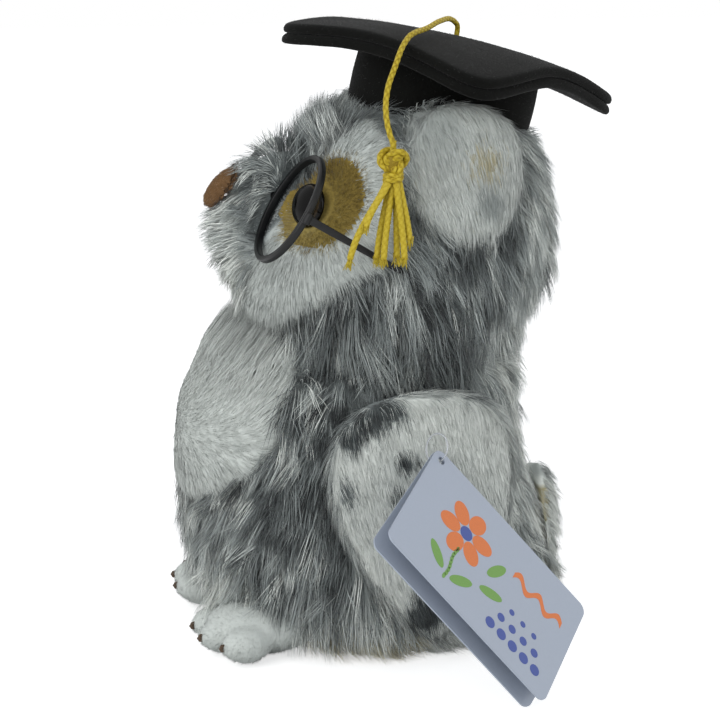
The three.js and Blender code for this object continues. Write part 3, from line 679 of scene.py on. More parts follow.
def wrapped(nodes: Iterable[str], middle: Vector, rounds: int = 2) -> Mesh:
    """A closed skin drawn round nodes, out to the furthest that each direction meets.

    Args:
        nodes: The nodes that it covers.
        middle: The point that it is drawn round.
        rounds: How many times it is smoothed.

    Returns:
        The skin.
    """
    solids = cad_copy(nodes)
    tree = BVHTree.FromBMesh(solids)
    solids.free()
    skin = bmesh.new()
    bmesh.ops.create_icosphere(skin, subdivisions=6, radius=1)
    nudges = [Vector(n) * 0.008 for n in ((0, 0, 0), (1, 1, 0), (-1, 0, 1), (0, -1, -1), (1, -1, 1))]
    for vert in skin.verts:
        out = vert.co.normalized()
        reach = 0.0
        for nudge in nudges:
            aim = (out + nudge).normalized()
            spot = tree.ray_cast(middle + aim * 200 * MM, -aim)[0]
            if spot is not None:
                reach = max(reach, (spot - middle).length)
        vert.co = middle + out * reach
    return smoothed(skin, rounds)


def swept(path: Sequence[Vector], around: int, shape: Shape) -> Mesh:
    """A closed tube along a path, with its height over its thinnest kept on each point.

    Args:
        path: The points of its middle line.
        around: How many faces go round.
        shape: The radius, in metres, at a length along the path and an angle round it.

    Returns:
        The tube.
    """
    tube = bmesh.new()
    height = tube.verts.layers.float.new("height")
    bmesh.ops.create_grid(tube, x_segments=len(path) - 1, y_segments=around, size=1)
    last = len(path) - 1
    tangents = [(path[min(i + 1, last)] - path[max(i - 1, 0)]).normalized() for i in range(len(path))]
    side = tangents[0].orthogonal().normalized()
    sides = []
    for tangent in tangents:
        side = (side - tangent * side.dot(tangent)).normalized()
        sides.append(side.copy())
    lengths = [0.0]
    for first, second in zip(path, path[1:]):
        lengths.append(lengths[-1] + (second - first).length)
    for vert in tube.verts:
        row = round((vert.co.x + 1) / 2 * last)
        angle = math.pi * (vert.co.y + 1)
        up = tangents[row].cross(sides[row])
        reach = shape(lengths[row], angle)
        vert[height] = reach
        vert.co = path[row] + (sides[row] * math.cos(angle) + up * math.sin(angle)) * reach
    bmesh.ops.remove_doubles(tube, verts=tube.verts, dist=0.001 * MM)
    bmesh.ops.holes_fill(tube, edges=tube.edges, sides=0)
    bmesh.ops.recalc_face_normals(tube, faces=tube.faces)
    return tube


def resampled(points: Sequence[Vector], step: float) -> list[Vector]:
    """A smooth curve through points, cut into even steps.

    Args:
        points: The points that it goes through.
        step: About how long each step is, in metres.

    Returns:
        The curve's points.
    """
    ends = [points[0] * 2 - points[1], *points, points[-1] * 2 - points[-2]]
    dense = []
    for a, b, c, d in zip(ends, ends[1:], ends[2:], ends[3:]):
        knots = [0.0]
        for first, second in ((a, b), (b, c), (c, d)):
            knots.append(knots[-1] + max((second - first).length, 1e-9) ** 0.5)
        for k in range(40):
            t = knots[1] + (knots[2] - knots[1]) * k / 40
            ab = a.lerp(b, (t - knots[0]) / (knots[1] - knots[0]))
            bc = b.lerp(c, (t - knots[1]) / (knots[2] - knots[1]))
            cd = c.lerp(d, (t - knots[2]) / (knots[3] - knots[2]))
            abc = ab.lerp(bc, (t - knots[0]) / (knots[2] - knots[0]))
            bcd = bc.lerp(cd, (t - knots[1]) / (knots[3] - knots[1]))
            dense.append(abc.lerp(bcd, (t - knots[1]) / (knots[2] - knots[1])))
    dense.append(points[-1])
    lengths = np.cumsum([0.0, *((b - a).length for a, b in zip(dense, dense[1:]))])
    count = max(2, round(lengths[-1] / step) + 1)
    wanted = np.linspace(0, lengths[-1], count)
    flat = np.array([tuple(p) for p in dense])
    return [Vector(p) for p in np.stack([np.interp(wanted, lengths, flat[:, i]) for i in range(3)], axis=1)]


def run_length(path: Sequence[Vector]) -> float:
    """The length of a run of points, in metres."""
    return sum((b - a).length for a, b in zip(path, path[1:]))


def plait(radius: float, strands: int = 3, pitch: float = 3.4 * MM, depth: float = 0.16) -> Shape:
    """The radius of a round braid, whose plaits pass over and under each other.

    Args:
        radius: The braid's outer radius, in metres.
        strands: How many plaits go round each way.
        pitch: How far along a plait takes to go one strand round, in metres.
        depth: How deep the grooves are, as a share of the radius.

    Returns:
        The radius as a function of length and angle.
    """

    def shape(length: float, angle: float) -> float:
        """The radius at a length and an angle."""
        one = strands * angle / (2 * math.pi) + length / pitch
        two = strands * angle / (2 * math.pi) - length / pitch
        over = (math.floor(one) + math.floor(two)) % 2
        ridge = math.sin(math.pi * ((two if over else one) % 1))
        gap = math.sin(math.pi * ((one if over else two) % 1))
        return radius * (1 - depth * (1 - abs(ridge) ** 0.6 * (0.6 + 0.4 * abs(gap) ** 0.5)))

    return shape


def scaled_heights(made: Object) -> Object:
    """Carries a tube's kept radii over to 0 in its grooves and 1 on its ridges."""
    values = np.empty(len(made.data.vertices), dtype=np.float32)
    kept = made.data.attributes["height"].data
    kept.foreach_get("value", values)
    low, high = np.percentile(values, (2, 98))
    kept.foreach_set("value", np.clip((values - low) / max(high - low, 1e-9), 0, 1).astype(np.float32))
    return made


# The pile


def rise(low: object, high: object, value: object) -> Rows:
    """0 at low and 1 at high, eased between."""
    share = np.clip((value - low) / (np.asarray(high) - low), 0, 1)
    return share * share * (3 - 2 * share)


def unit(rows: Rows) -> Rows:
    """Each row made one long."""
    return rows / np.maximum(np.linalg.norm(rows, axis=-1, keepdims=True), 1e-9)


def along_skin(flow: Rows, normals: Rows) -> Rows:
    """Each row laid into the skin, one long."""
    return unit(flow - normals * np.sum(flow * normals, axis=1, keepdims=True) + 1e-7)


def lumps(points: Rows, size: float, shift: float = 0.0) -> Rows:
    """Smooth noise of about -1 to 1 with lumps of a size, in millimetres."""
    offset = Vector((shift, shift * 1.7, -shift))
    return np.array([noise.noise(Vector(p) / size + offset) for p in points]) * 1.6


@dataclass(frozen=True)
class Lock:
    """One kind of drawn strand, a three-sided spindle made once and laid many times.

    Attributes:
        name: Its name inside piece names.
        cuts: Where along it has a ring, as shares of its length; with none it is a plain cone.
        width: Its greatest radius, in millimetres.
        density: How many grow on a square millimetre.
        per_clump: How many gather to one tip.
        pull: How far they gather, as a share.
        most: How many a piece may hold.
        wander: How far clumps turn from the way the pile is combed, in radians.
        soft: How far its outer faces are shaded as the skin beneath, as parts to one.
        flat: How thick it is off the skin, as a share of its width.
    """

    name: str
    cuts: tuple[float, ...]
    width: float
    density: float
    per_clump: int
    pull: float
    most: int
    wander: float = 0.2
    soft: float = 3.5
    flat: float = 0.6

    def pattern(self) -> tuple[Rows, Rows, Rows, Rows]:
        """The strand's points and faces, made from a cone.

        Returns:
            Each point's share of the length, its angle, its share of the width, and the triangles.
        """
        cone = bmesh.new()
        bmesh.ops.create_cone(cone, cap_ends=True, cap_tris=False, segments=3, radius1=1, radius2=0, depth=1)
        bmesh.ops.remove_doubles(cone, verts=cone.verts, dist=1e-5)
        for cut in self.cuts:
            geometry = [*cone.verts, *cone.edges, *cone.faces]
            bmesh.ops.bisect_plane(cone, geom=geometry, plane_co=(0, 0, cut - 0.5), plane_no=(0, 0, 1))
        if self.cuts:
            base = [v for v in cone.verts if v.co.z < -0.499]
            bmesh.ops.pointmerge(cone, verts=base, merge_co=(0, 0, -0.5))
        bmesh.ops.triangulate(cone, faces=cone.faces)
        bmesh.ops.recalc_face_normals(cone, faces=cone.faces)
        cone.verts.index_update()
        share = np.array([v.co.z + 0.5 for v in cone.verts])
        angle = np.array([math.atan2(v.co.y, v.co.x) for v in cone.verts])
        middle = np.array([math.hypot(v.co.x, v.co.y) < 1e-4 for v in cone.verts])
        taper = np.where(middle, 0.0, 1 - 0.75 * share**1.6)
        faces = np.array([[v.index for v in face.verts] for face in cone.faces])
        cone.free()
        return share, angle, taper, faces


LONG = Lock("long", (0.3, 0.68), 0.16, 0.5, 12, 0.45, 15000, 0.26)
UNDER = Lock("under", (0.4,), 0.155, 1.4, 14, 0.4, 30000, 0.24)
PLUSH = Lock("plush", (0.35,), 0.11, 3.0, 10, 0.08, 30000, 0.07, 8.0, 0.8)
NAP = Lock("nap", (), 0.13, 5.0, 6, 0.1, 45000, 0.12, 5.0, 0.8)
COVERED = replace(NAP, name="covered", width=0.3, density=1.1)
FOOT_NAP = replace(NAP, width=0.16, density=2.8)


@dataclass
class Style:
    """How the pile lies at each of many points.

    Attributes:
        share: How thickly each kind of lock grows there, 0 to 1.
        length: How long it is, in millimetres.
        lift: How far it stands off the skin, in degrees.
        flow: Which way it is combed.
        tone: Its tone, 0 dark to 0.9 white, and 0.93 to 1 tan.
        mottle: How far its tone varies.
    """

    share: Rows
    length: Rows
    lift: Rows
    flow: Rows
    tone: Rows
    mottle: Rows


@dataclass
class Ground:
    """What strands grow from: a mesh's triangles with their normals, in millimetres."""

    corners: Rows
    normals: Rows

    @classmethod
    def of(cls, mesh: Mesh) -> "Ground":
        """Reads a mesh's triangles."""
        in_order(mesh)
        triangles = mesh.calc_loop_triangles()
        corners = np.array([[tuple(loop.vert.co) for loop in t] for t in triangles]) / MM
        return cls(corners, np.array([[tuple(loop.vert.normal) for loop in t] for t in triangles]))

    def strew(self, density: float, rng: np.random.Generator) -> tuple[Rows, Rows]:
        """Strews points over the triangles.

        Args:
            density: How many to a square millimetre.
            rng: Where chance comes from.

        Returns:
            The points and the normals there.
        """
        first, second, third = self.corners.transpose(1, 0, 2)
        areas = np.linalg.norm(np.cross(second - first, third - first), axis=1) / 2
        count = int(areas.sum() * density)
        chosen = rng.choice(len(areas), count, p=areas / areas.sum())
        u, v = rng.random(count), rng.random(count)
        folded = u + v > 1
        u, v = np.where(folded, 1 - u, u), np.where(folded, 1 - v, v)
        weights = np.stack([1 - u - v, u, v], axis=1)[:, :, None]
        normals = unit((self.normals[chosen] * weights).sum(axis=1))
        return (self.corners[chosen] * weights).sum(axis=1), normals


class Stuffed:
    """A stuffed part, which says how deep its cloth lies and how the pile on it lies."""

    def depth(self, points: Rows, normals: Rows) -> Rows:
        """How far in the cloth lies from the outside of the pile.

        Args:
            points: Points of the outside, in millimetres.
            normals: The outside's normals there.

        Returns:
            The depths, in millimetres.
        """
        raise NotImplementedError

    def style(self, points: Rows, normals: Rows, lock: Lock | None = None, stray: object = 0.0) -> Style:
        """How the pile lies.

        Args:
            points: Points of the skin, in millimetres.
            normals: The skin's normals there.
            lock: Which kind of strand is asked about.
            stray: How far each strand's zone is read from its root, so that edges mingle.

        Returns:
            The style.
        """
        raise NotImplementedError


class Skin:
    """A stuffed part's cloth skin, with what the pile needs to grow from it."""

    def __init__(
        self, mesh: Mesh, depth: Callable[[Rows, Rows], Rows],
        press: Callable[[Mesh], None] = lambda mesh: None,
    ) -> None:
        """Draws the mesh in by the depth of the pile.

        Args:
            mesh: The part's outside, with its pile.
            depth: How far in the cloth lies, in millimetres, at points with normals, in millimetres.
            press: Presses the drawn skin in where something worn lies on it.
        """
        mesh.normal_update()
        points, normals = corners_of(mesh)
        drawn = points - normals * depth(points, normals)[:, None]
        for vert, point in zip(mesh.verts, drawn):
            vert.co = Vector(point) * MM
        press(mesh)
        smoothed(mesh)
        mesh.normal_update()
        self.mesh = mesh
        self.ground = Ground.of(mesh)
        self.tree = BVHTree.FromBMesh(mesh)

    def finished(self, name: str, style: Callable, *finishes: Finish) -> Object:
        """Makes the skin's piece, its cloth toned as the pile above it.

        Args:
            name: The piece's name.
            style: Gives the style at points with normals.
            finishes: What the skin is made of.

        Returns:
            The object.
        """
        tones = style(*corners_of(self.mesh)).tone
        layer = self.mesh.verts.layers.float.new("tone")
        for vert, tone in zip(self.mesh.verts, tones):
            vert[layer] = float(tone)
        return piece(self.mesh, name, *finishes)


def lay(
    name: str, body: Body, lock: Lock, finish: Finish, strands: Sequence[Rows], rng: np.random.Generator
) -> Object:
    """Lays a lock along each strand's curve, all in one piece.

    Args:
        name: The piece's name.
        body: What it rides on.
        lock: The kind of strand.
        finish: What it is made of.
        strands: The roots, middle handles, tips, tones and skin normals.
        rng: Where chance comes from.

    Returns:
        The piece.
    """
    root, middle, tip, tone, normal = strands
    share, angle, taper, faces = lock.pattern()
    count, points = len(root), len(share)
    t = share[None, :, None]
    line = (1 - t) ** 2 * root[:, None] + 2 * t * (1 - t) * middle[:, None] + t * t * tip[:, None]
    heading = unit(tip - root)
    side = unit(np.cross(heading, normal) + 1e-6)
    up = np.cross(side, heading)
    turned = angle[None, :] + rng.uniform(0, 2 * math.pi, count)[:, None]
    wide = (lock.width * rng.uniform(0.75, 1.3, count))[:, None] * taper[None, :]
    round_it = side[:, None] * (wide * np.cos(turned))[:, :, None]
    round_it = round_it + up[:, None] * (lock.flat * wide * np.sin(turned))[:, :, None]
    # The pattern's cone points along its own Z, and side, up and heading are left-handed.
    spots = ((line + round_it) * MM).astype(np.float32)
    corners = (faces[None, :, ::-1] + (np.arange(count) * points)[:, None, None]).reshape(-1, 3)
    flat = spots.reshape(-1, 3)
    ends = flat[corners]
    face_normal = unit(np.cross(ends[:, 1] - ends[:, 0], ends[:, 2] - ends[:, 0]))
    skin_normal = np.repeat(normal, len(faces), axis=0)
    outward = np.sum(face_normal * skin_normal, axis=1)
    soft = np.where(outward > 0, lock.soft, 0.85)[:, None]
    shade = unit(face_normal + soft * skin_normal).astype(np.float32)
    data = bpy.data.meshes.new(name)
    data.vertices.add(len(flat))
    data.vertices.foreach_set("co", flat.ravel())
    data.loops.add(corners.size)
    data.loops.foreach_set("vertex_index", corners.ravel().astype(np.int32))
    data.polygons.add(len(corners))
    data.polygons.foreach_set("loop_start", np.arange(0, corners.size, 3, dtype=np.int32))
    data.update(calc_edges=True)
    layer = data.uv_layers.new(name="OFBake")
    along = np.tile(share[faces[:, ::-1]].ravel(), count)
    tones = np.repeat(tone, faces.size)
    tone_and_place = np.stack([tones, np.clip(along, 0.01, 0.99)], axis=1)
    layer.data.foreach_set("uv", tone_and_place.astype(np.float32).ravel())
    kept = data.attributes.new("custom_normal", "FLOAT_VECTOR", "CORNER")
    kept.data.foreach_set("vector", np.repeat(shade, 3, axis=0).ravel())
    data.materials.append(finish.material())
    made = bpy.data.objects.new(name, data)
    bpy.context.scene.collection.objects.link(made)
    return fitted(made, body)


@dataclass
class Pile:
    """The pile of one stuffed part, grown from its skin.

    Attributes:
        name: The part's name inside piece names.
        skin: What it grows from.
        style: Gives the style at points with normals, in millimetres.
        body: The body that it rides on.
        clear_of: Solids that no tip may end in.
        under: Solids close above the skin, under which nothing grows.
        over: Solids that the strands are laid over.
        trim: Draws back the middles and tips that would cover what is worn over them.
        seed: What the pile's chance starts from.
    """

    name: str
    skin: Skin
    style: Callable[[Rows, Rows, Lock], Style]
    body: Body
    clear_of: Sequence[BVHTree] = ()
    under: Sequence[BVHTree] = ()
    over: Sequence[BVHTree] = ()
    trim: Callable = lambda root, middle, tip: (middle, tip)
    seed: int = SEED

    def grow(self, lock: Lock, finish: Finish, covered: bool = False) -> list[Object]:
        """Grows one kind of lock all over the part.

        Args:
            lock: The kind of strand.
            finish: What it is made of.
            covered: Whether it grows only under the solids close above the skin, instead of only beside them.

        Returns:
            The pieces.
        """
        rng = np.random.default_rng(self.seed)
        points, normals = self.skin.ground.strew(lock.density, rng)
        style = self.style(points, normals, lock, rng.normal(0, 1.5, points.shape))
        keep = rng.random(len(points)) < style.share
        keep[keep] = self.open_above(points[keep], normals[keep]) != covered
        if keep.sum() < 8:
            return []
        points, normals = points[keep], normals[keep]
        parts = [getattr(style, key)[keep] for key in ("share", "length", "lift", "flow", "tone", "mottle")]
        root, middle, tip, tone = self.comb(lock, points, normals, Style(*parts), rng)
        middle, tip = self.trim(points, middle, tip)
        self.drape(middle, 1.6)
        self.drape(tip, 0.9)
        for bent in (middle, tip):
            bent[:, 2] = np.maximum(bent[:, 2], 0.3)
        clear = self.ends_clear(tip) & self.ends_clear(middle)
        order = np.argsort(np.arctan2(points[clear, 0], -points[clear, 1]))
        strands = [part[clear][order] for part in (root, middle, tip, tone, normals)]
        made = []
        shares = max(1, math.ceil(len(order) / lock.most))
        for k, chunk in enumerate(zip(*(np.array_split(part, shares) for part in strands))):
            name = f"{self.name}_{lock.name}_pile" + (f"_{k + 1}" if shares > 1 else "")
            made.append(lay(name, self.body, lock, finish, chunk, rng))
        return made

    def drape(self, points: Rows, height: float) -> None:
        """Lifts points out of the solids that the strands are laid over."""
        for tree in self.over:
            for i, point in enumerate(points):
                spot = Vector(point) * MM
                near, normal, _, _ = tree.find_nearest(spot, 14 * MM)
                if near is not None and (spot - near).dot(normal) < height * MM:
                    points[i] = (near + normal * height * MM) / MM

    def open_above(self, points: Rows, normals: Rows) -> Rows:
        """Which points have nothing close above them."""
        room = np.ones(len(points), dtype=bool)
        for tree in self.under:
            for i, (point, normal) in enumerate(zip(points, normals)):
                if room[i] and tree.ray_cast(Vector(point) * MM, Vector(normal), 9 * MM)[0] is not None:
                    room[i] = False
        return room

    def ends_clear(self, points: Rows) -> Rows:
        """Which points lie in none of the solids."""
        clear = np.ones(len(points), dtype=bool)
        for tree in self.clear_of:
            for i, point in enumerate(points):
                if not clear[i]:
                    continue
                spot = Vector(point) * MM
                near, normal, _, distance = tree.find_nearest(spot, 9 * MM)
                if near is not None and (spot - near).dot(normal) < 0.35 * MM and distance < 8 * MM:
                    clear[i] = (spot - near).dot(normal) >= 0 and distance > 0.35 * MM
        return clear

    def comb(
        self, lock: Lock, points: Rows, normals: Rows, style: Style, rng: np.random.Generator
    ) -> tuple[Rows, Rows, Rows, Rows]:
        """Gives each strand its curve and its tone, gathered into clumps.

        Args:
            lock: The kind of strand.
            points: The roots.
            normals: The skin's normals there.
            style: How the pile lies.
            rng: Where chance comes from.

        Returns:
            Each strand's root, its middle handle, its tip and its tone.
        """
        count = len(points)
        seeds = rng.choice(count, max(1, count // lock.per_clump), replace=False)
        tree = KDTree(len(seeds))
        for i, seed in enumerate(seeds):
            tree.insert(points[seed], i)
        tree.balance()
        clump = np.array([tree.find(point)[1] for point in points])
        stir = rng.normal(0, lock.wander, len(seeds)) + 1.6 * lock.wander * lumps(points[seeds], 12)
        turn = stir[clump] + rng.normal(0, 0.55 * lock.wander, count)
        flow = along_skin(style.flow, normals)
        side = np.cross(normals, flow)
        flow = flow * np.cos(turn)[:, None] + side * np.sin(turn)[:, None]
        clumped = rng.normal(0, 28 * lock.wander, len(seeds))[clump]
        lift = np.radians(style.lift + clumped + rng.normal(0, 24 * lock.wander, count))
        length = style.length * (1 + rng.normal(0, 0.12, len(seeds))[clump] + rng.normal(0, 0.10, count))
        length = np.maximum(length, 0.35 * style.length)
        early, late = lift + 0.30, lift - 0.16
        root = points - normals * 0.8

        def out(angle: Rows, reach: float) -> Rows:
            """Where a strand has got to at a share of its length."""
            heading = normals * np.sin(angle)[:, None] + flow * np.cos(angle)[:, None]
            return points + heading * (length * reach)[:, None]

        middle, tip = out(early, 0.5), out(late, 1.0)
        tip[:, 2] -= 0.10 * length
        pull = lock.pull * rng.uniform(0.6, 1.25, len(seeds))[clump][:, None]
        tip = tip + (tip[seeds][clump] - tip) * pull
        middle = middle + (middle[seeds][clump] - middle) * pull * 0.35
        spread = rng.normal(0, 0.12, len(seeds))
        spread = spread + 0.16 * lumps(points[seeds], 7, 5) + 0.11 * lumps(points[seeds], 18, 2)
        streak = rng.random(len(seeds)) < 0.12
        spread[streak] -= 0.18
        tan = style.tone > 0.965
        tone = style.tone + style.mottle * (spread[clump] + rng.normal(0, 0.05, count))
        tone = np.where(tan, np.clip(tone, 0.935, 1.0), np.clip(tone, 0.01, 0.9))
        return root, middle, tip, tone


def solid_tree(*objects: Object) -> BVHTree:
    """A search tree over finished pieces or nodes."""
    mesh = bmesh.new()
    for item in objects:
        mesh.from_mesh(item.data)
    in_order(mesh)
    tree = BVHTree.FromBMesh(mesh)
    mesh.free()
    return tree


# Camera, light and floor


@dataclass
class Studio:
    """The camera at the photograph's angle, soft light and a pale floor."""

    azimuth: float = 78.0
    elevation: float = 13.0
    distance: float = 0.9
    aim: Point = (0.00066, -0.00627, 0.107)
    lens: float = 112.5
    key: float = 5.7
    fill: float = 2.8
    sky: float = 0.72

    def toward(self, azimuth: float, elevation: float) -> Vector:
        """The direction from the owl to a place round it."""
        a, e = math.radians(azimuth), math.radians(elevation)
        return Vector((math.sin(a) * math.cos(e), -math.cos(a) * math.cos(e), math.sin(e)))

    def aimed(self, back: Vector) -> Matrix:
        """A turn that looks against a direction, upright."""
        right = Z.cross(back).normalized()
        up = back.cross(right)
        return Matrix((right, up, back)).transposed().to_4x4()

    def set_camera(self) -> None:
        """Puts the camera in place."""
        data = bpy.data.cameras.new("camera")
        data.sensor_width = 36
        data.lens = self.lens
        data.clip_start = 0.01
        camera = bpy.data.objects.new("camera", data)
        back = self.toward(self.azimuth, self.elevation)
        camera.matrix_world = Matrix.Translation(Vector(self.aim) + back * self.distance) @ self.aimed(back)
        bpy.context.scene.collection.objects.link(camera)
        bpy.context.scene.camera = camera

    def set_lamp(
        self, name: str, azimuth: float, elevation: float, distance: float, size: float, power: float
    ) -> None:
        """Adds one soft square lamp.

        Args:
            name: Its name.
            azimuth: Where it stands, in degrees round the owl as the camera's.
            elevation: How high, in degrees.
            distance: How far off, in metres.
            size: How wide it is, in metres.
            power: How strong, in watts.
        """
        data = bpy.data.lights.new(name, "AREA")
        data.size = size
        data.energy = power
        lamp = bpy.data.objects.new(name, data)
        back = self.toward(azimuth, elevation)
        lamp.matrix_world = Matrix.Translation(Vector(self.aim) + back * distance) @ self.aimed(back)
        bpy.context.scene.collection.objects.link(lamp)

    def set_light(self) -> None:
        """Lights the owl, and makes what the camera sees behind it white."""
        self.set_lamp("key", self.azimuth - 34, 26, 1.2, 0.9, self.key)
        self.set_lamp("fill", self.azimuth + 55, 22, 1.3, 0.9, self.fill)
        world = bpy.data.worlds.new("studio")
        world.use_nodes = True
        tree = world.node_tree
        tree.nodes.clear()
        output = tree.nodes.new("ShaderNodeOutputWorld")
        path = tree.nodes.new("ShaderNodeLightPath")
        plain, seen = tree.nodes.new("ShaderNodeBackground"), tree.nodes.new("ShaderNodeBackground")
        plain.inputs["Strength"].default_value = self.sky
        plain.inputs["Color"].default_value = (0.96, 0.98, 1.0, 1)
        seen.inputs["Color"].default_value = (1, 1, 1, 1)
        mixed = tree.nodes.new("ShaderNodeMixShader")
        shown = path.outputs["Is Camera Ray"]
        for ray in ("Is Glossy Ray", "Is Transmission Ray"):
            either = tree.nodes.new("ShaderNodeMath")
            either.operation = "MAXIMUM"
            tree.links.new(shown, either.inputs[0])
            tree.links.new(path.outputs[ray], either.inputs[1])
            shown = either.outputs[0]
        tree.links.new(shown, mixed.inputs[0])
        tree.links.new(plain.outputs[0], mixed.inputs[1])
        tree.links.new(seen.outputs[0], mixed.inputs[2])
        tree.links.new(mixed.outputs[0], output.inputs["Surface"])
        bpy.context.scene.world = world

    def set_floor(self) -> None:
        """Lays the floor, white to the camera but for the owl's shadow."""
        mesh = bmesh.new()
        bmesh.ops.create_grid(mesh, x_segments=4, y_segments=4, size=3)
        floor = bpy.data.objects.new("floor", bpy.data.meshes.new("floor"))
        mesh.to_mesh(floor.data)
        mesh.free()
        graph = Graph("pale_floor")
        graph.shade(Base_Color=paint(226, 226, 226), Roughness=0.9, Specular_IOR_Level=0.0)
        path = graph.node("ShaderNodeLightPath")
        seen = graph.sum("MAXIMUM", path.outputs["Is Camera Ray"], path.outputs["Is Glossy Ray"])
        seen = graph.sum("MAXIMUM", seen, path.outputs["Is Transmission Ray"])
        graph.shade(Emission_Color=(1, 1, 1, 1), Emission_Strength=graph.sum("MULTIPLY", seen, 0.62))
        floor.data.materials.append(graph.material)
        bpy.context.scene.collection.objects.link(floor)
        floor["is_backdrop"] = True

    def build(self) -> None:
        """Sets the whole studio up."""
        self.set_camera()
        self.set_light()
        self.set_floor()
        bpy.context.scene.view_settings.view_transform = "Standard"
        log.info("studio: camera at %.0f, %.0f", self.azimuth, self.elevation)


# The cap and its tassel

CAP_PLACE = HEAD_TURN @ place(
    (0.98481, -0.16849, 0.04201, 0.17365, 0.95555, -0.23825, 0, 0.24192, 0.9703), (0, 32.49, 231.026))


@dataclass
class Tassel:
    """The braided cord over the board's edge, its knot and its seven frayed strands."""

    radius: float = 1.1 * MM
    length: float = 0.1123
    bend: Point = (0.04352, 0.0024, 0.2379)
    knot_middle: Point = (0.07049, -0.01662, 0.19589)
    knot_radius: float = 6.2 * MM
    knot_height: float = 6.6 * MM
    strand_radius: float = 1.3 * MM
    strand_length: float = 31 * MM
    strand_ring: float = 2.1 * MM
    knot_cord: float = 1.25 * MM
    spread_turn: float = 72.0
    route: tuple[Point, ...] = (
        (0, 0.03299, 0.23302), (0, 0.0337, 0.23588), (0.00101, 0.03343, 0.23892), (0.00446, 0.02958, 0.24161),
        (0.01599, 0.02078, 0.24199), (0.02798, 0.0112, 0.24047), (0.03802, 0.00252, 0.23963),
        (0.042, -0.00091, 0.2386), (0.048, -0.00567, 0.2352), (0.05502, -0.01078, 0.22902),
        (0.06103, -0.01552, 0.22208), (0.06553, -0.01782, 0.21521), (0.06853, -0.01792, 0.20869),
        (0.07049, -0.01662, 0.20279))
    ends: tuple[Point, ...] = (
        (-0.11, 0.03, 0.97), (0.2, 0.02, 0.74), (0.14, 0.08, 0.96), (-0.33, 0.12, 0.56), (-0.52, 0, 1),
        (-0.19, -0.08, 0.98), (0.05, -0.08, 0.97))

    def build_cord(self) -> tuple[Object, list[Vector]]:
        """Makes the braided cord, from the board's middle to the knot."""
        points = [HEAD_TURN @ Vector(p) for p in self.route]
        fine = resampled(points, 0.26 * MM)
        tube = swept(fine, 16, plait(self.radius))
        return scaled_heights(piece(tube, "tassel_cord", BRAID)), resampled(points, run_length(fine) / 30)

    def build_knot(self) -> Object:
        """Makes the knot, the cord doubled and tied over itself above one tight turn."""
        middle = HEAD_TURN @ Vector(self.knot_middle)
        turn = math.radians(self.spread_turn)
        across = Vector((math.cos(turn), math.sin(turn), 0))
        toward = Vector((math.sin(turn), -math.cos(turn), 0))
        lane_gap = 1.1
        paths = []
        for lane in (-1, 1):
            path = []
            for k in range(181):
                t = 2 * math.pi * k / 180
                heading = Vector((math.cos(t) + 4 * math.cos(2 * t), 4 * math.sin(2 * t) - math.sin(t)))
                heading.normalize()
                x = 1.32 * (math.sin(t) + 2 * math.sin(2 * t)) + lane_gap * lane * heading.y
                z = 1.42 * (math.cos(t) - 2 * math.cos(2 * t)) - lane_gap * lane * heading.x
                path.append((across * x + Z * (z + 0.6) - toward * 2.5 * math.sin(3 * t)) * MM)
            paths.append(path)
        collar = []
        for k in range(61):
            t = 3.4 * math.pi * k / 60
            ring = (across * math.cos(t) + toward * math.sin(t)) * 2.7
            collar.append((ring - Z * (3.6 + 2.6 * k / 60)) * MM)
        knot = bmesh.new()
        for path in (*paths, collar, [Z * 8.4 * MM, Z * 1.5 * MM]):
            add(swept(resampled(path, 0.3 * MM), 12, plait(self.knot_cord, 3, 3.0 * MM, 0.2)), knot)
        height = knot.verts.layers.float.get("height")
        core = bmesh.ops.create_uvsphere(knot, u_segments=32, v_segments=20, radius=1)["verts"]
        for vert in core:
            vert.co = Vector((vert.co.x * 3.2, vert.co.y * 3.2, vert.co.z * 5.0)) * MM
            vert[height] = 0.85 * self.knot_cord
        bmesh.ops.transform(knot, matrix=Matrix.Translation(middle), verts=knot.verts)
        return scaled_heights(piece(knot, "tassel_wound_knot", BRAID))

    def strand_path(self, index: int) -> list[Vector]:
        """The middle line of one strand, from under the knot to its end."""
        turn = math.radians(self.spread_turn)
        across = Vector((math.cos(turn), math.sin(turn), 0))
        out = Vector((math.sin(turn), -math.cos(turn), 0))
        ring = 0.0 if index == 0 else self.strand_ring
        angle = 2 * math.pi * (index - 1) / (len(self.ends) - 1)
        leave = self.knot_height * math.sqrt(1 - (ring / self.knot_radius) ** 2) + 0.6 * MM
        start = Vector((ring * math.cos(angle), ring * math.sin(angle), leave - 2.2 * MM))
        a, b, c = (share * self.strand_length for share in self.ends[index])
        end = Vector((a, b, leave + c))
        first, second = start + Z * 0.22 * c, Vector((0.86 * a, 0.86 * b, leave + 0.5 * c))
        path = []
        for k in range(25):
            t = k / 24
            local = start * (1 - t) ** 3 + first * (3 * t * (1 - t) ** 2)
            local = local + second * (3 * t * t * (1 - t)) + end * t**3
            path.append(Vector(self.knot_middle) + across * local.x + out * local.y - Z * local.z)
        return [HEAD_TURN @ point for point in path]

    def build_strand(self, index: int, rng: np.random.Generator) -> Object:
        """Makes one braided strand with its frayed end.

        Args:
            index: Which strand.
            rng: Where chance comes from.

        Returns:
            The strand.
        """
        path = resampled(self.strand_path(index), 0.34 * MM)
        cut = int(len(path) * 0.94)
        full = run_length(path[:cut])
        braid = plait(self.strand_radius, 3, 3.0 * MM, 0.2)

        def shape(length: float, angle: float) -> float:
            """The braid's radius, drawn in at both ends."""
            ease = min(1.0, 0.55 + 0.45 * length / (2.5 * MM), 0.8 + 0.2 * (full - length) / (1.0 * MM))
            return braid(length, angle) * ease

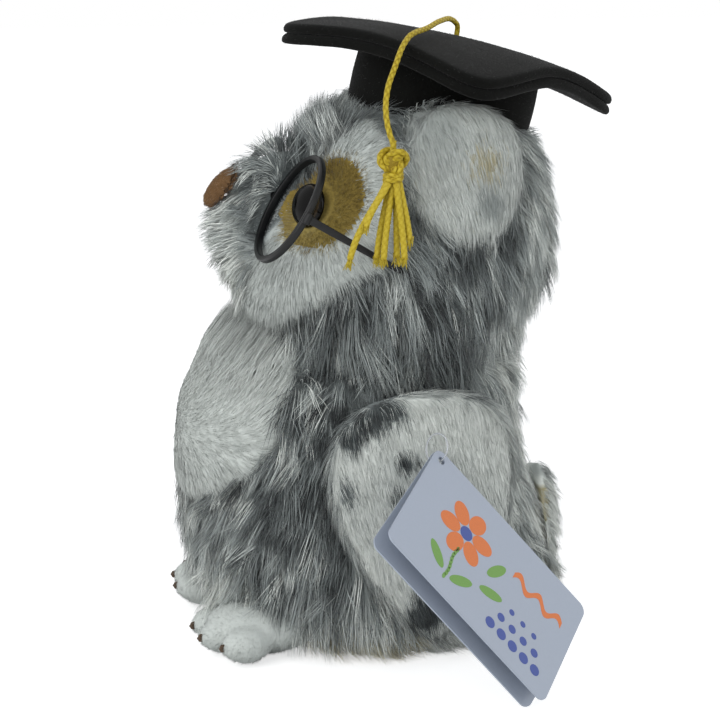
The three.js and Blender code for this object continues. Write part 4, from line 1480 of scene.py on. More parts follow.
        strand = swept(path[:cut], 12, shape)
        height = strand.verts.layers.float.get("height")
        tail = path[-1] - path[cut - 1]
        heading = tail.normalized()
        for _ in range(30):
            lean = Vector(rng.normal(0, 0.3, 3))
            reach = heading * (tail.length + rng.uniform(0.2, 1.8) * MM) + lean * tail.length
            base = path[cut - 4] + Vector(rng.normal(0, 0.55, 3)) * MM
            made = bmesh.ops.create_cone(
                strand, cap_ends=True, cap_tris=True, segments=4, radius1=0.22 * MM, radius2=0.12 * MM,
                depth=1)["verts"]
            turn = Z.rotation_difference(reach).to_matrix().to_4x4()
            for vert in made:
                share = vert.co.z + 0.5
                vert.co.z = share * reach.length
                vert.co.x += share * share * float(lean.x) * MM
                vert[height] = self.strand_radius * (0.93 + 0.07 * share)
            bmesh.ops.transform(strand, matrix=Matrix.Translation(base) @ turn, verts=made)
        return scaled_heights(piece(strand, f"tassel_braided_strand_{index + 1}", BRAID))

    def build(self) -> None:
        """Makes the whole tassel, its cord standing in for the cord's two nodes."""
        rng = np.random.default_rng(SEED + 1)
        cord, path = self.build_cord()
        knot = fitted(self.build_knot(), Body.TASSEL, ["tassel_knot"])
        strands = [
            fitted(self.build_strand(k, rng), Body.TASSEL, [f"tassel_strand_{k + 1}"])
            for k in range(len(self.ends))]
        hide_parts("tassel_cord_top", "tassel_cord_drop")
        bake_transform(cord)
        log.info("tassel: %d points of cord, %d strands", len(path), len(strands))


@dataclass
class Cap:
    """The felt band and the soft square board of two plies with drooping corners."""

    half_diagonal: float = 73 * MM
    squareness: float = 7.0
    ply: float = 4.1 * MM
    droop: float = 16 * MM
    gap: float = 0.3 * MM
    band_radius: float = 36 * MM
    band_wall: float = 2.6 * MM
    band_drop: float = 26 * MM
    droop_shares: tuple[float, ...] = (1, 0.35, 0.67, 0.35, 0.5, 0.4, 0.8, 0.8)

    def droop_at(self, angle: float) -> float:
        """How far the board hangs on that side, as a share of the most."""
        shares = self.droop_shares
        step = (angle / (2 * math.pi) * len(shares)) % len(shares)
        first = int(step)
        mix = (1 - math.cos(math.pi * (step - first))) / 2
        return shares[first] * (1 - mix) + shares[(first + 1) % len(shares)] * mix

    def sag(self, angle: float, reach: float) -> float:
        """How far the board hangs at an angle and a distance from its middle."""
        return self.droop * self.droop_at(angle) * (reach / self.half_diagonal) ** 2

    def edge(self, angle: float) -> float:
        """How far it is from the middle of the rounded square to its edge."""
        x, y = math.cos(angle + math.pi / 4), math.sin(angle + math.pi / 4)
        power = self.squareness
        return self.half_diagonal / math.sqrt(2) / (abs(x) ** power + abs(y) ** power) ** (1 / power)

    def build_ply(self, name: str, low: float, high: float, node: str) -> Object:
        """Makes one ply, a flattened ball drawn out to the rounded square.

        Args:
            name: The piece's name.
            low: The height of its underside, in metres.
            high: The height of its top, in metres.
            node: The node that it stands for.

        Returns:
            The ply.
        """
        ply = bmesh.new()
        bmesh.ops.create_uvsphere(ply, u_segments=176, v_segments=52, radius=1)
        half, middle, rim = (high - low) / 2, (high + low) / 2, 0.17
        for vert in ply.verts:
            angle = math.atan2(vert.co.y, vert.co.x)
            up = math.asin(max(-1.0, min(1.0, vert.co.z))) / (math.pi / 2)
            inner = self.edge(angle) - half * 0.5
            if abs(up) > rim:
                share = (1 - abs(up)) / (1 - rim)
                reach, level = inner * share, math.copysign(half, up)
            else:
                bow = abs(up) / rim * math.pi / 2
                reach, level = inner + half * math.cos(bow), math.copysign(half * math.sin(bow), up)
            wander = noise.noise(Vector((math.cos(angle) * 3, math.sin(angle) * 3, up * 0.4 + low * 90)))
            reach += wander * 0.45 * MM * min(1.0, (reach / inner) ** 4)
            spot = Vector((reach * math.cos(angle), reach * math.sin(angle), middle + level))
            ripple = noise.noise(spot * 34) * 0.30 * MM + noise.noise(spot * 120) * 0.10 * MM
            vert.co = Vector((spot.x, spot.y, spot.z - self.sag(angle, reach) + ripple))
        bmesh.ops.transform(ply, matrix=CAP_PLACE, verts=ply.verts)
        bmesh.ops.recalc_face_normals(ply, faces=ply.faces)
        return fitted(piece(ply, name, FELT), Body.HEAD, [node])

    def build_band(self, head: BVHTree) -> Object:
        """Makes the band, a felt ring from the board's underside down into the fur.

        Args:
            head: The head's skin, which the band's lower edge meets.

        Returns:
            The band.
        """
        band = bmesh.new()
        wall, steps = self.band_wall, 14
        outline = [(self.band_radius - wall, -k / steps) for k in range(steps + 1)]
        outline += [(self.band_radius - wall / 2, -1.0)]
        outline += [(self.band_radius, -1 + k / steps) for k in range(steps + 1)]
        verts = [band.verts.new((r, 0, z)) for r, z in outline]
        edges = [band.edges.new((a, b)) for a, b in zip(verts, [*verts[1:], verts[0]])]
        bmesh.ops.spin(
            band, geom=[*verts, *edges], cent=(0, 0, 0), axis=(0, 0, 1), angle=2 * math.pi, steps=128,
            use_merge=True)
        inverse = CAP_PLACE.inverted()
        for vert in band.verts:
            angle = math.atan2(vert.co.y, vert.co.x)
            reach = math.hypot(vert.co.x, vert.co.y)
            top = -self.ply - self.gap - self.sag(angle, reach)
            foot = Vector((reach * math.cos(angle), reach * math.sin(angle), 0))
            foot.z = -self.ply - self.gap - self.band_drop
            start = CAP_PLACE @ Vector((foot.x, foot.y, top))
            spot = head.ray_cast(start, CAP_PLACE.to_3x3() @ Vector((0, 0, -1)), self.band_drop)[0]
            low = max(foot.z, (inverse @ spot).z + 0.3 * MM) if spot is not None else foot.z
            share = -vert.co.z
            bulge = 0.5 * MM * math.sin(math.pi * share) * (1 if reach > self.band_radius - 0.1 * MM else 0.4)
            reach += bulge
            vert.co = Vector((reach * math.cos(angle), reach * math.sin(angle), top + (low - top) * share))
        bmesh.ops.transform(band, matrix=CAP_PLACE, verts=band.verts)
        bmesh.ops.recalc_face_normals(band, faces=band.faces)
        return fitted(piece(band, "cap_felt_band", FELT), Body.HEAD, ["cap_band"])

    def fuzz(self, name: str, source: Object, density: float, length: float) -> Object:
        """Gives a felt piece its short stray fibres.

        Args:
            name: The fibres' piece name.
            source: The felt piece.
            density: How many to a square millimetre.
            length: How long, in millimetres.

        Returns:
            The fibres.
        """
        mesh = bmesh.new()
        mesh.from_mesh(source.data)
        rng = np.random.default_rng(SEED + 7)
        points, normals = Ground.of(mesh).strew(density, rng)
        mesh.free()
        count = len(points)
        lean = unit(rng.normal(0, 1, (count, 3)))
        flow = along_skin(lean, normals)
        reach = length * rng.uniform(0.4, 1.3, count)[:, None]
        lift = rng.uniform(0.1, 0.75, count)[:, None]
        middle = points + reach * 0.5 * (normals * lift * 1.4 + flow)
        bend = 0.4 * np.cross(normals, flow) * rng.normal(0, 1, (count, 1))
        tip = points + reach * (normals * lift + flow + bend)
        tone = np.clip(rng.beta(1.2, 6, count), 0.02, 0.9)
        fibre = replace(LONG, name="fibre", cuts=(), width=0.055)
        strands = (points - normals * 0.05, middle, tip, tone, normals)
        return lay(name, Body.HEAD, fibre, FELT_FIBRE, strands, rng)

    def build(self, head: BVHTree) -> list[Object]:
        """Makes the whole cap."""
        top = self.build_ply("cap_top_ply", self.gap / 2, self.ply, "cap_board_top")
        under = self.build_ply("cap_under_ply", -self.ply, -self.gap / 2, "cap_board_bottom")
        band = self.build_band(head)
        self.fuzz("cap_top_fibres", top, 0.34, 1.1)
        self.fuzz("cap_under_fibres", under, 0.28, 1.1)
        self.fuzz("cap_band_fibres", band, 0.3, 0.9)
        return [top, under, band]


# The glasses, eyes and beak

FACE_AXES = (1, 0, 0, 0, 0.85717, -0.51504, 0, 0.51504, 0.85717)
GLASSES_PLACE = HEAD_TURN @ place(FACE_AXES, (0, -42.978, 174.008))
ARM_PLACE = place(
    (0.94552, -0.27907, 0.16768, 0.32557, 0.81047, -0.48698, 0, 0.51504, 0.85717), (51, -42.978, 174.008))
EYE_PLACE = place(
    (0.92718, 0.37461, 0, -0.36009, 0.89127, -0.27564, -0.10326, 0.25557, 0.96126), (28, -35.511, 175.028))


@dataclass
class Glasses:
    """Two round rims and a bridge moulded in one piece, with an arm on a knuckle at each side."""

    lens_side: float = 27 * MM
    lens_radius: float = 20.3 * MM
    bar: float = 2.4 * MM
    depth: float = 2.8 * MM
    chamfer: float = 0.6 * MM
    bridge_rise: float = 3 * MM
    arm_length: float = 46 * MM
    arm_height: float = 3 * MM
    arm_width: float = 2 * MM
    tuck: float = 6.5 * MM
    knuckle_radius: float = 1.7 * MM
    knuckle_height: float = 4.2 * MM

    def add_rim(self, front: Mesh, side: Side) -> None:
        """Spins one rim's chamfered section round its lens."""
        inner, outer, half, cut = self.lens_radius, self.lens_radius + self.bar, self.depth / 2, self.chamfer
        ease = 0.25 * MM
        outline = (
            (inner, -half + ease), (inner + ease, -half), (outer - cut, -half), (outer, cut - half),
            (outer, half - cut), (outer - cut, half), (inner + ease, half), (inner, half - ease))
        verts = [front.verts.new((r, y, 0)) for r, y in outline]
        edges = [front.edges.new((a, b)) for a, b in zip(verts, [*verts[1:], verts[0]])]
        bmesh.ops.spin(
            front, geom=[*verts, *edges], cent=(0, 0, 0), axis=(0, 1, 0), angle=2 * math.pi, steps=120,
            use_merge=True)
        loose = [v for v in front.verts if v.tag is False]
        bmesh.ops.translate(front, verts=loose, vec=(side.value * self.lens_side, 0, 0))
        for vert in front.verts:
            vert.tag = True

    def build_front(self) -> Object:
        """Makes the rims and the bridge."""
        front = bmesh.new()
        for side in Side:
            self.add_rim(front, side)
        reach = self.lens_side - self.lens_radius - self.bar / 2
        rise_ = self.bridge_rise
        arch = []
        for k in range(25):
            t = k / 24
            arch.append(Vector((-reach + 2 * reach * t, -2 * t * (1 - t) * rise_, 4 * t * (1 - t) * rise_)))
        bar = swept(arch, 16, lambda length, angle: self.bar / 2)
        add(bar, front)
        bmesh.ops.transform(front, matrix=GLASSES_PLACE, verts=front.verts)
        in_order(front)
        bmesh.ops.recalc_face_normals(front, faces=front.faces)
        made = piece(front, "glasses_rims", BLACK_PLASTIC, smooth=False)
        soft = made.modifiers.new("rounded", "BEVEL")
        soft.width, soft.segments = 0.22 * MM, 2
        soft.limit_method, soft.angle_limit = "ANGLE", math.radians(30)
        made.data.shade_smooth()
        return fitted(made, Body.HEAD, ["glasses_front"])

    def build_arm(self, side: Side) -> Object:
        """Makes one arm with its knuckle, tapered towards its hidden end."""
        arm = bmesh.new()
        bmesh.ops.create_cube(arm, size=1)
        bmesh.ops.subdivide_edges(
            arm, edges=[e for e in arm.edges if abs(e.verts[0].co.y - e.verts[1].co.y) > 0.5], cuts=9)
        start = -self.depth / 2
        for vert in arm.verts:
            share = vert.co.y + 0.5
            thin = 1 - 0.28 * share
            tucked = self.tuck * max(0.0, share - 0.5) ** 1.5 / 0.5**1.5
            vert.co = Vector((
                vert.co.x * self.arm_width * thin - tucked, start + share * self.arm_length,
                vert.co.z * self.arm_height * thin))
        bmesh.ops.bevel(
            arm, geom=[e for e in arm.edges if len(e.link_faces) == 2 and e.calc_face_angle(0) > 0.5],
            offset=0.45 * MM, segments=3, affect="EDGES", profile=0.5, material=-1)
        knuckle = bmesh.ops.create_cone(
            arm, cap_ends=True, cap_tris=False, segments=32, radius1=self.knuckle_radius,
            radius2=self.knuckle_radius, depth=self.knuckle_height)["verts"]
        rims = dict.fromkeys(
            e for v in knuckle for e in v.link_edges if abs(e.verts[0].co.z - e.verts[1].co.z) < 1e-6)
        bmesh.ops.bevel(
            arm, geom=[*rims], offset=0.3 * MM, segments=2, affect="EDGES", profile=0.5, material=-1)
        screw = bmesh.ops.create_cone(
            arm, cap_ends=True, cap_tris=False, segments=24, radius1=0.8 * MM, radius2=0.65 * MM,
            depth=0.3 * MM)
        bmesh.ops.transform(
            arm, matrix=Matrix.Translation((0, 0, self.knuckle_height / 2)), verts=screw["verts"])
        bmesh.ops.transform(arm, matrix=HEAD_TURN @ side.mirror @ ARM_PLACE, verts=arm.verts)
        in_order(arm)
        bmesh.ops.recalc_face_normals(arm, faces=arm.faces)
        made = piece(arm, f"glasses_arm_{side.word}", BLACK_PLASTIC, smooth=False)
        made.data.shade_smooth()
        made.data.set_sharp_from_angle(angle=math.radians(35))
        return fitted(made, Body.HEAD, [f"temple_{side.word}"])

    def build(self) -> list[Object]:
        """Makes the glasses."""
        return [self.build_front(), *(self.build_arm(side) for side in Side)]


@dataclass
class Eye:
    """One plastic eye: a clear dome over a painted disc, set in the face."""

    side: Side
    radius: float = 8.5 * MM
    dome: float = 5 * MM

    def build(self) -> Object:
        """Makes the eye, with each point's distance out kept for its paint."""
        eye = bmesh.new()
        out = eye.verts.layers.float.new("out")
        bmesh.ops.create_uvsphere(eye, u_segments=64, v_segments=40, radius=1)
        for vert in eye.verts:
            share = math.hypot(vert.co.x, vert.co.y)
            up = vert.co.z
            vert[out] = share if up > -0.02 else 1.0
            reach = self.dome if up > 0 else 1.6 * MM
            vert.co = Vector((vert.co.x * self.radius, -up * reach, vert.co.y * self.radius))
        turn = HEAD_TURN @ self.side.mirror @ EYE_PLACE
        bmesh.ops.transform(eye, matrix=turn, verts=eye.verts)
        bmesh.ops.recalc_face_normals(eye, faces=eye.faces)
        made = piece(eye, f"glass_eye_{self.side.word}", EYE_GLASS)
        return fitted(made, Body.HEAD, [f"eye_{self.side.word}"])


# The stuffed parts


def in_head(points: Rows) -> Rows:
    """Points carried back to the head before it is turned, in millimetres."""
    turn = np.array(HEAD_TURN.to_3x3())
    return points @ turn


def out_of_head(rows: Rows) -> Rows:
    """Directions carried from the unturned head to the turned one."""
    turn = np.array(HEAD_TURN.to_3x3())
    return rows @ turn.T


@dataclass
class Head(Stuffed):
    """The stuffed head: its skin with the muzzle and puffs, and the pile in its zones."""

    middle: Point = (0.0005, 0.005, 0.165)
    eye: tuple[float, float, float] = (28, -38, 175)
    patch: tuple[float, float, float] = (31.5, -41, 182.5)
    face_heights: tuple[float, ...] = (124, 138, 149, 158, 169, 180, 198, 208, 216)
    face_edges: tuple[float, ...] = (-50, -41, -27, -10, -9, -10, -6, -11, -20)
    chin_depths: tuple[float, ...] = (-60, -49, -41, -27, -10)
    chin_heights: tuple[float, ...] = (124, 128, 138, 149, 158)
    nodes: tuple[str, ...] = (
        "head_coat", "face_panel_left", "face_panel_right", "eye_patch_left", "eye_patch_right", "muzzle",
        "side_puff_left", "side_puff_right")

    def zones(self, points: Rows) -> dict[str, Rows]:
        """How much each point belongs to each zone of the head, adding up to 1.

        Args:
            points: Points in millimetres, in the turned head.

        Returns:
            A share for each zone.
        """
        x, y, z = in_head(points).T
        side = np.abs(x)
        local = np.array(place(FACE_AXES, (0, 0, 0)).to_3x3())
        flat = (np.stack([side, y, z], axis=1) - np.array(self.patch)) @ local
        round_eye = (np.stack([side, y, z], axis=1) - np.array(self.eye)) @ local
        patch = 1 - rise(0.95, 1.05, np.hypot(flat[:, 0] / 14.5, flat[:, 2] / 18.5))
        patch = np.maximum(patch, 1 - rise(0.95, 1.05, np.hypot(round_eye[:, 0], round_eye[:, 2]) / 14.5))
        patch *= rise(0, -8, y)
        edge = np.interp(z, self.face_heights, self.face_edges)
        chin = np.interp(y, self.chin_depths, self.chin_heights)
        white = rise(1.2, -1.2, y - edge) * rise(-1.2, 1.2, z - chin)
        brow = rise(23, 16, side - 0.25 * (z - 195)) * rise(183, 193, z)
        muzzle = 1 - rise(0.85, 1.15, np.hypot(side / (15 + 9 * rise(164, 180, z)), (z - 170) / 32))
        streaked = np.maximum(brow, muzzle * rise(0, -6, y + 36 - 16 * rise(168, 178, z)))
        white = white * (1 - streaked)
        puff = (1 - rise(0.94, 1.04, np.hypot((y - 19) / 25, (z - 191) / 27))) * rise(30, 34, side)
        puff *= rise(46, 40, y)
        share = {"patch": patch}
        left = 1 - patch
        for key, amount in (("face", white), ("brow", streaked), ("puff", puff)):
            share[key] = left * amount
            left = left * (1 - amount)
        ruff = rise(160, 144, z)
        share["ruff"] = left * ruff
        left = left * (1 - ruff)
        back = rise(34, 48, y)
        share["nape"] = left * back
        left = left * (1 - back)
        crown = rise(202, 212, z)
        share["crown"] = left * crown
        share["band"] = left * (1 - crown)
        return share

    def depth(self, points: Rows, normals: Rows) -> Rows:
        """How far in the skin lies, in millimetres."""
        share = self.zones(points)
        deep = dict(patch=1.2, face=1.2, brow=4.2, puff=1.4, ruff=5.6, nape=5.5, crown=5.0, band=5.2)
        y, z = in_head(points).T[1:]
        tucked = 5.5 * rise(24, 44, y) * rise(152, 132, z)
        return (sum(share[key] * deep[key] for key in deep) + tucked) * rise(-1.0, -0.75, normals[:, 2])

    def style(self, points: Rows, normals: Rows, lock: Lock | None = None, stray: object = 0.0) -> Style:
        """How the head's pile lies, arguments as for Stuffed."""
        share = self.zones(points + stray)
        placed_at = in_head(points)
        x, y, z = placed_at.T
        side = np.abs(x)
        sign = np.sign(x)[:, None]
        folded = np.stack([side, y, z], axis=1)
        from_eye = unit(folded - np.array(self.eye))
        ones = np.ones(len(points))

        def fixed(a: float, b: float, c: float) -> Rows:
            """One direction for every point."""
            return np.tile([a, b, c], (len(points), 1))

        outward = unit(np.stack([side, y - 5, 0 * z], axis=1))
        flows = {
            "patch": from_eye, "face": from_eye + fixed(0, 0, -0.15),
            "brow": from_eye * 0.7 + fixed(0, 0.2, 0.15), "puff": fixed(0.6, 0.25, -1),
            "ruff": outward * 0.30 + fixed(0, 0.12, -1), "nape": fixed(0.1, 0.2, -1),
            "crown": outward + fixed(0, 0.5, -0.4), "band": fixed(0.15, 0.28, -1)}
        lengths = dict(patch=3.0, face=4.6, brow=10.0, puff=5.6, ruff=17.5, nape=13.5, crown=12.0, band=12.5)
        lifts = dict(patch=40, face=16, brow=34, puff=18, ruff=24, nape=30, crown=36, band=30)
        tones = dict(patch=0.5, face=0.77, brow=0.54, puff=0.81, ruff=0.42, nape=0.76, crown=0.62, band=0.48)
        mottles = dict(patch=0.8, face=0.08, brow=1.3, puff=0.1, ruff=1.4, nape=1.1, crown=1.2, band=1.3)
        total = sum(share.values())
        flow = sum(share[k][:, None] * flows[k] for k in share) / total[:, None]
        flow[:, 0:1] *= sign

        def blended(values: dict[str, float]) -> Rows:
            """Each zone's value by its share."""
            return sum(share[k] * values[k] for k in share) / total

        tone = blended(tones)
        lens = np.hypot(side - 27, (z - 174) * 0.857 + (y + 43) * 0.515)
        tone = tone - 0.30 * share["brow"] * rise(36, 23, lens) * (y < -30)
        tint = 1 - rise(0.1, 1.4, np.hypot((y - 24) / 12, (z - 194) / 10))
        tan = (side > 40) & (0.62 * tint > 0.5 + 0.4 * lumps(points, 0.7, 4))
        smudge = (side > 40) * (1 - rise(0.3, 1.3, np.hypot((y - 26) / 7, (z - 179) / 6)))
        tone = np.where(tan & (share["puff"] > 0.4), 0.97, tone * (1 - 0.3 * smudge))
        inner = rise(14, 6, np.hypot(side - self.eye[0], z - self.eye[2])) * share["patch"]
        tone = np.where(share["patch"] > 0.5, 0.30 + 0.5 * rise(8, -12, z - 172) * 0.6 + 0.2 * inner, tone)
        short = share["face"] + share["puff"]
        furry = 1 - short - share["patch"]
        growth = {None: ones, LONG: furry, UNDER: furry, PLUSH: short, NAP: share["patch"]}[lock]
        growth = np.clip(growth, 0, 1) * self.bare(placed_at)
        # Painted shade under the cap: the face's white is drawn darker towards its top, and the puff's top
        # darker towards the front.
        tone = tone - 0.07 * share["face"] * rise(188, 204, z)
        tone = tone - 0.12 * share["puff"] * rise(20, 4, y) * rise(192, 206, z)
        tone = tone + 0.36 * share["ruff"] * rise(-42, -54, y) + 0.28 * share["ruff"] * rise(24, 46, y)
        low = 5 * rise(164, 156, z)
        tone = tone + 0.30 * share["brow"] * rise(-50 + low, -60 + low, y) * rise(196, 182, z)
        high = share["brow"] * rise(182, 194, z) * rise(-12, -24, y)
        from_arm_end = (folded - np.array((63, -10, 162))) / np.array((14, 11, 9))
        covers = 1 - rise(0.7, 1.2, np.linalg.norm(from_arm_end, axis=1))
        at_beak = (1 - rise(0.6, 1.3, np.hypot(x / 17, (z - 180) / 16))) * rise(-38, -48, y)
        hang = share["ruff"] * rise(148, 128, z)
        longer = 1 + 0.7 * hang * rise(30, 10, y) - 0.35 * hang * rise(20, 40, y)
        length = blended(lengths) * longer + 5.0 * high
        length = length + 4.0 * covers * (share["face"] < 0.3) + 1.0 * at_beak
        lift = blended(lifts) + 24 * high * (1 - at_beak) + 26 * covers - 2 * at_beak
        tone = tone + 0.14 * at_beak * share["brow"]
        forward = np.stack([0.16 * np.sign(x), -1 + 0 * x, -0.25 + 0 * x], axis=1)
        flow = flow * (1 - at_beak[:, None]) + forward * at_beak[:, None]
        hanging = np.degrees(np.arcsin(np.clip(-normals[:, 2], 0, 1))) + 12
        lift = np.where(z < 160, np.maximum(lift, hanging), lift)
        return Style(growth, length, lift, out_of_head(unit(flow)), tone, blended(mottles))

    def bare(self, placed_at: Rows) -> Rows:
        """1 where pile grows, 0 under the eyes, inside the cap's band and on the neck."""
        x, y, z = placed_at.T
        folded = np.stack([np.abs(x), y, z], axis=1)
        eye = np.array(EYE_PLACE.to_3x3())
        local = (folded - np.array(EYE_PLACE.translation) / MM) @ eye
        off_eye = np.hypot(local[:, 0], local[:, 2]) > 8.9
        cap = np.array((HEAD_TURN.inverted() @ CAP_PLACE).to_3x3())
        middle = np.array((HEAD_TURN.inverted() @ CAP_PLACE).translation) / MM
        on_cap = (placed_at - middle) @ cap
        off_cap = (np.hypot(on_cap[:, 0], on_cap[:, 1]) > 33.5) | (on_cap[:, 2] < -40)
        return (off_eye & off_cap & (z > 121)).astype(float)

    def behind_glasses(
        self, root: Rows, middle: Rows, tip: Rows
    ) -> tuple[Rows, Rows]:
        """Draws back what would hang before the rims.

        Args:
            root: Each strand's root, in millimetres.
            middle: Its middle handle.
            tip: Its tip.

        Returns:
            The middles and the tips.
        """
        turn = np.array((GLASSES_PLACE.inverted()).to_3x3()).T
        origin = np.array(GLASSES_PLACE.translation) / MM
        base = (root - origin) @ turn
        drawn = []
        for bent in (middle, tip):
            local = (bent - origin) @ turn
            near = np.hypot(np.abs(local[:, 0]) - 27, local[:, 2]) < 29
            inside = near & (np.abs(base[:, 0]) > 4) & (local[:, 1] < 2.2)
            reach = np.clip((base[:, 1] - 2.2) / np.maximum(base[:, 1] - local[:, 1], 0.1), 0.12, 1)
            share = np.where(inside, reach, 1.0)[:, None]
            drawn.append(root + (bent - root) * share)
        return drawn[0], drawn[1]

    def press(self, mesh: Mesh) -> None:
        """Presses the sides of the muzzle in behind the rims.

        Args:
            mesh: The head's skin.
        """
        inverse = GLASSES_PLACE.inverted()
        for vert in mesh.verts:
            local = inverse @ vert.co / MM
            side = abs(local.x)
            if local.y > 20 or side < 2:
                continue
            from_middle = math.hypot(side - 27, local.z)
            inside = float(rise(29, 25, from_middle) * rise(2, 4.5, side))
            wanted = 3.4 - 0.25 * (side - 4)
            local.y += max(0.0, wanted - local.y) * inside
            vert.co = GLASSES_PLACE @ (local * MM)

    def build(self) -> tuple[Object, Skin]:
        """Makes the head's skin."""
        skin = Skin(wrapped(self.nodes, Vector(self.middle)), self.depth, self.press)
        spots = np.array([tuple(face.calc_center_median()) for face in skin.mesh.faces]) / MM
        zones = self.zones(spots)
        for face, patch, white in zip(skin.mesh.faces, zones["patch"], zones["face"] + zones["puff"]):
            face.material_index = 1 if patch > 0.5 else 2 * int(white > 0.5)
        made = skin.finished("head_skin", self.style, GREY_BACKING, TAN_BACKING, WHITE_BACKING)
        return fitted(made, Body.HEAD, [*self.nodes, "head_stuffing"]), skin


@dataclass
class Torso(Stuffed):
    """The stuffed body: its skin on a flat cloth base, and the pile in its zones."""

    middle: Point = (0, -0.003, 0.055)
    belly_heights: tuple[float, ...] = (50, 59, 66, 74, 80, 90, 103, 110, 117)
    belly_edges: tuple[float, ...] = (-110, -78, -70, -60, -55, -47, -45, -43, -41)
    hem: float = 20.0
    smudges: tuple[tuple[float, float, float, float], ...] = (
        (40, 50, 57, 7), (33, 58, 46, 6), (48, 36, 70, 5), (50, -42, 74, 10), (46, -50, 60, 8),
        (54, -30, 40, 6))
    nodes: tuple[str, ...] = ("body_coat", "belly_panel", "base_panel")

    def zones(self, points: Rows) -> dict[str, Rows]:
        """How much each point belongs to each zone of the body, adding up to 1.

        Args:
            points: Points in millimetres.

        Returns:
            A share for each zone.
        """
        _, y, z = points.T
        edge = np.interp(z, self.belly_heights, self.belly_edges)
        belly = rise(1.2, -1.2, y - edge) * rise(54, 56, z)
        hem = (1 - belly) * rise(self.hem + 9, self.hem - 9, z)
        left = 1 - belly - hem
        back = rise(18, 44, y)
        return {"belly": belly, "hem": hem, "back": left * back, "flank": left * (1 - back)}

    def depth(self, points: Rows, normals: Rows) -> Rows:
        """How far in the skin lies, in millimetres."""
        share = self.zones(points)
        deep = dict(belly=1.2, hem=4.4, back=5.4, flank=5.4)
        away = rise(1.5, 7.0, points[:, 2])
        shoulder = 3.6 * rise(92, 112, points[:, 2]) * rise(-20, -45, points[:, 1])
        return sum(share[key] * deep[key] for key in deep) * away + shoulder

    def style(self, points: Rows, normals: Rows, lock: Lock | None = None, stray: object = 0.0) -> Style:
        """How the body's pile lies, arguments as for Stuffed."""
        share = self.zones(points + stray)
        x, y, z = points.T
        sign = np.sign(x)[:, None]
        side = np.abs(x)

        def fixed(a: float, b: float, c: float) -> Rows:
            """One direction for every point."""
            return np.tile([a, b, c], (len(points), 1))

        fan = np.stack([0.2 + 0 * x, np.clip(0.9 * (y + 20) / 50, -0.9, 0.9), -1 + 0 * x], axis=1)
        over = 2.5 * rise(0.3, 0.9, normals[:, 2]) / np.maximum(np.hypot(x, y), 1)
        fan = fan + np.stack([side * over, y * over, 0 * x], axis=1)
        flows = {
            "belly": fixed(0, -0.25, -1), "hem": fan + fixed(0.8, 0, 0), "back": fixed(0.1, 0.35, -1),
            "flank": unit(fan)}
        flow = sum(share[k][:, None] * flows[k] for k in share)
        flow[:, 0:1] *= sign

        def blended(values: dict[str, float]) -> Rows:
            """Each zone's value by its share."""
            return sum(share[k] * values[k] for k in share)

        tone = blended(dict(belly=0.80, hem=0.96, back=0.84, flank=0.41))
        fringe = rise(54, 34, z) * rise(6, -10, y) * rise(10, 18, side)
        tone = tone + 0.2 * (1 - share["belly"]) * rise(-48, -64, y) * rise(10, 24, z) + 0.16 * fringe
        for sx, sy, sz, reach in self.smudges:
            near = np.sqrt((side - sx) ** 2 + (y - sy) ** 2 + (z - sz) ** 2)
            tone = tone * (1 - 0.55 * (1 - rise(0.5, 1.3, near / reach)))
        furry, ones = 1 - share["belly"], 1 + 0 * x
        growth = {None: ones, LONG: furry, UNDER: furry, PLUSH: share["belly"], COVERED: ones}[lock]
        growth = growth * (z > 0.8) * ((normals[:, 2] > -0.93) | (z > 6)) * (np.hypot(x, y) > 22)
        # The belly's pile is combed down low, across in the middle and up under the chin.
        chest = rise(98, 111, z) * rise(-28, -42, y)
        inward = unit(np.stack([-0.3 * x, -y, 3.2 * np.hypot(x, y)], axis=1))
        turned = np.pi * rise(46, 118, z)[:, None]
        combed = fixed(0, -0.25, -1) * np.maximum(np.cos(turned), 0) + fixed(1, 0.1, 0) * np.sin(turned)
        combed = combed + inward * np.maximum(-np.cos(turned), 0)
        flow = flow * (1 - share["belly"][:, None]) + combed * share["belly"][:, None]
        rising = np.degrees(np.arcsin(np.clip(np.sum(inward * normals, axis=1), 0.14, 0.98)))
        length = blended(dict(belly=4.6, hem=13.5, back=14.0, flank=14.5))
        length = length * (1 - 0.4 * rise(0.35, 0.8, normals[:, 2]))
        length = length * (1 - chest) + 21.0 * chest + 5.0 * fringe
        length = 2.6 * ones if lock is COVERED else length
        lift = blended(dict(belly=14, hem=38, back=28, flank=24)) * (1 - chest) + rising * chest
        hanging = np.degrees(np.arcsin(np.clip(-normals[:, 2], 0, 1))) + 10
        lift = np.where(z < 60, np.maximum(lift, hanging), lift) + 8 * fringe
        mottle = blended(dict(belly=0.06, hem=0.5, back=1.4, flank=1.5))
        return Style(growth, length, lift, flow, tone, mottle)

    def build(self) -> tuple[Object, Skin]:
        """Makes the body's skin, its base of plain cloth."""
        skin = Skin(wrapped(self.nodes, Vector(self.middle)), self.depth)
        for vert in skin.mesh.verts:
            vert.co.z = max(vert.co.z, 0.0)
        spots = np.array([tuple(face.calc_center_median()) for face in skin.mesh.faces]) / MM
        for face, spot, white in zip(skin.mesh.faces, spots, self.zones(spots)["belly"]):
            face.material_index = 1 if spot[2] < 1.2 else 2 * int(white > 0.5)
        made = skin.finished("body_skin", self.style, GREY_BACKING, BASE_CLOTH, WHITE_BACKING)
        return fitted(made, Body.BODY, [*self.nodes, "weight_pouch", "body_stuffing"]), skin


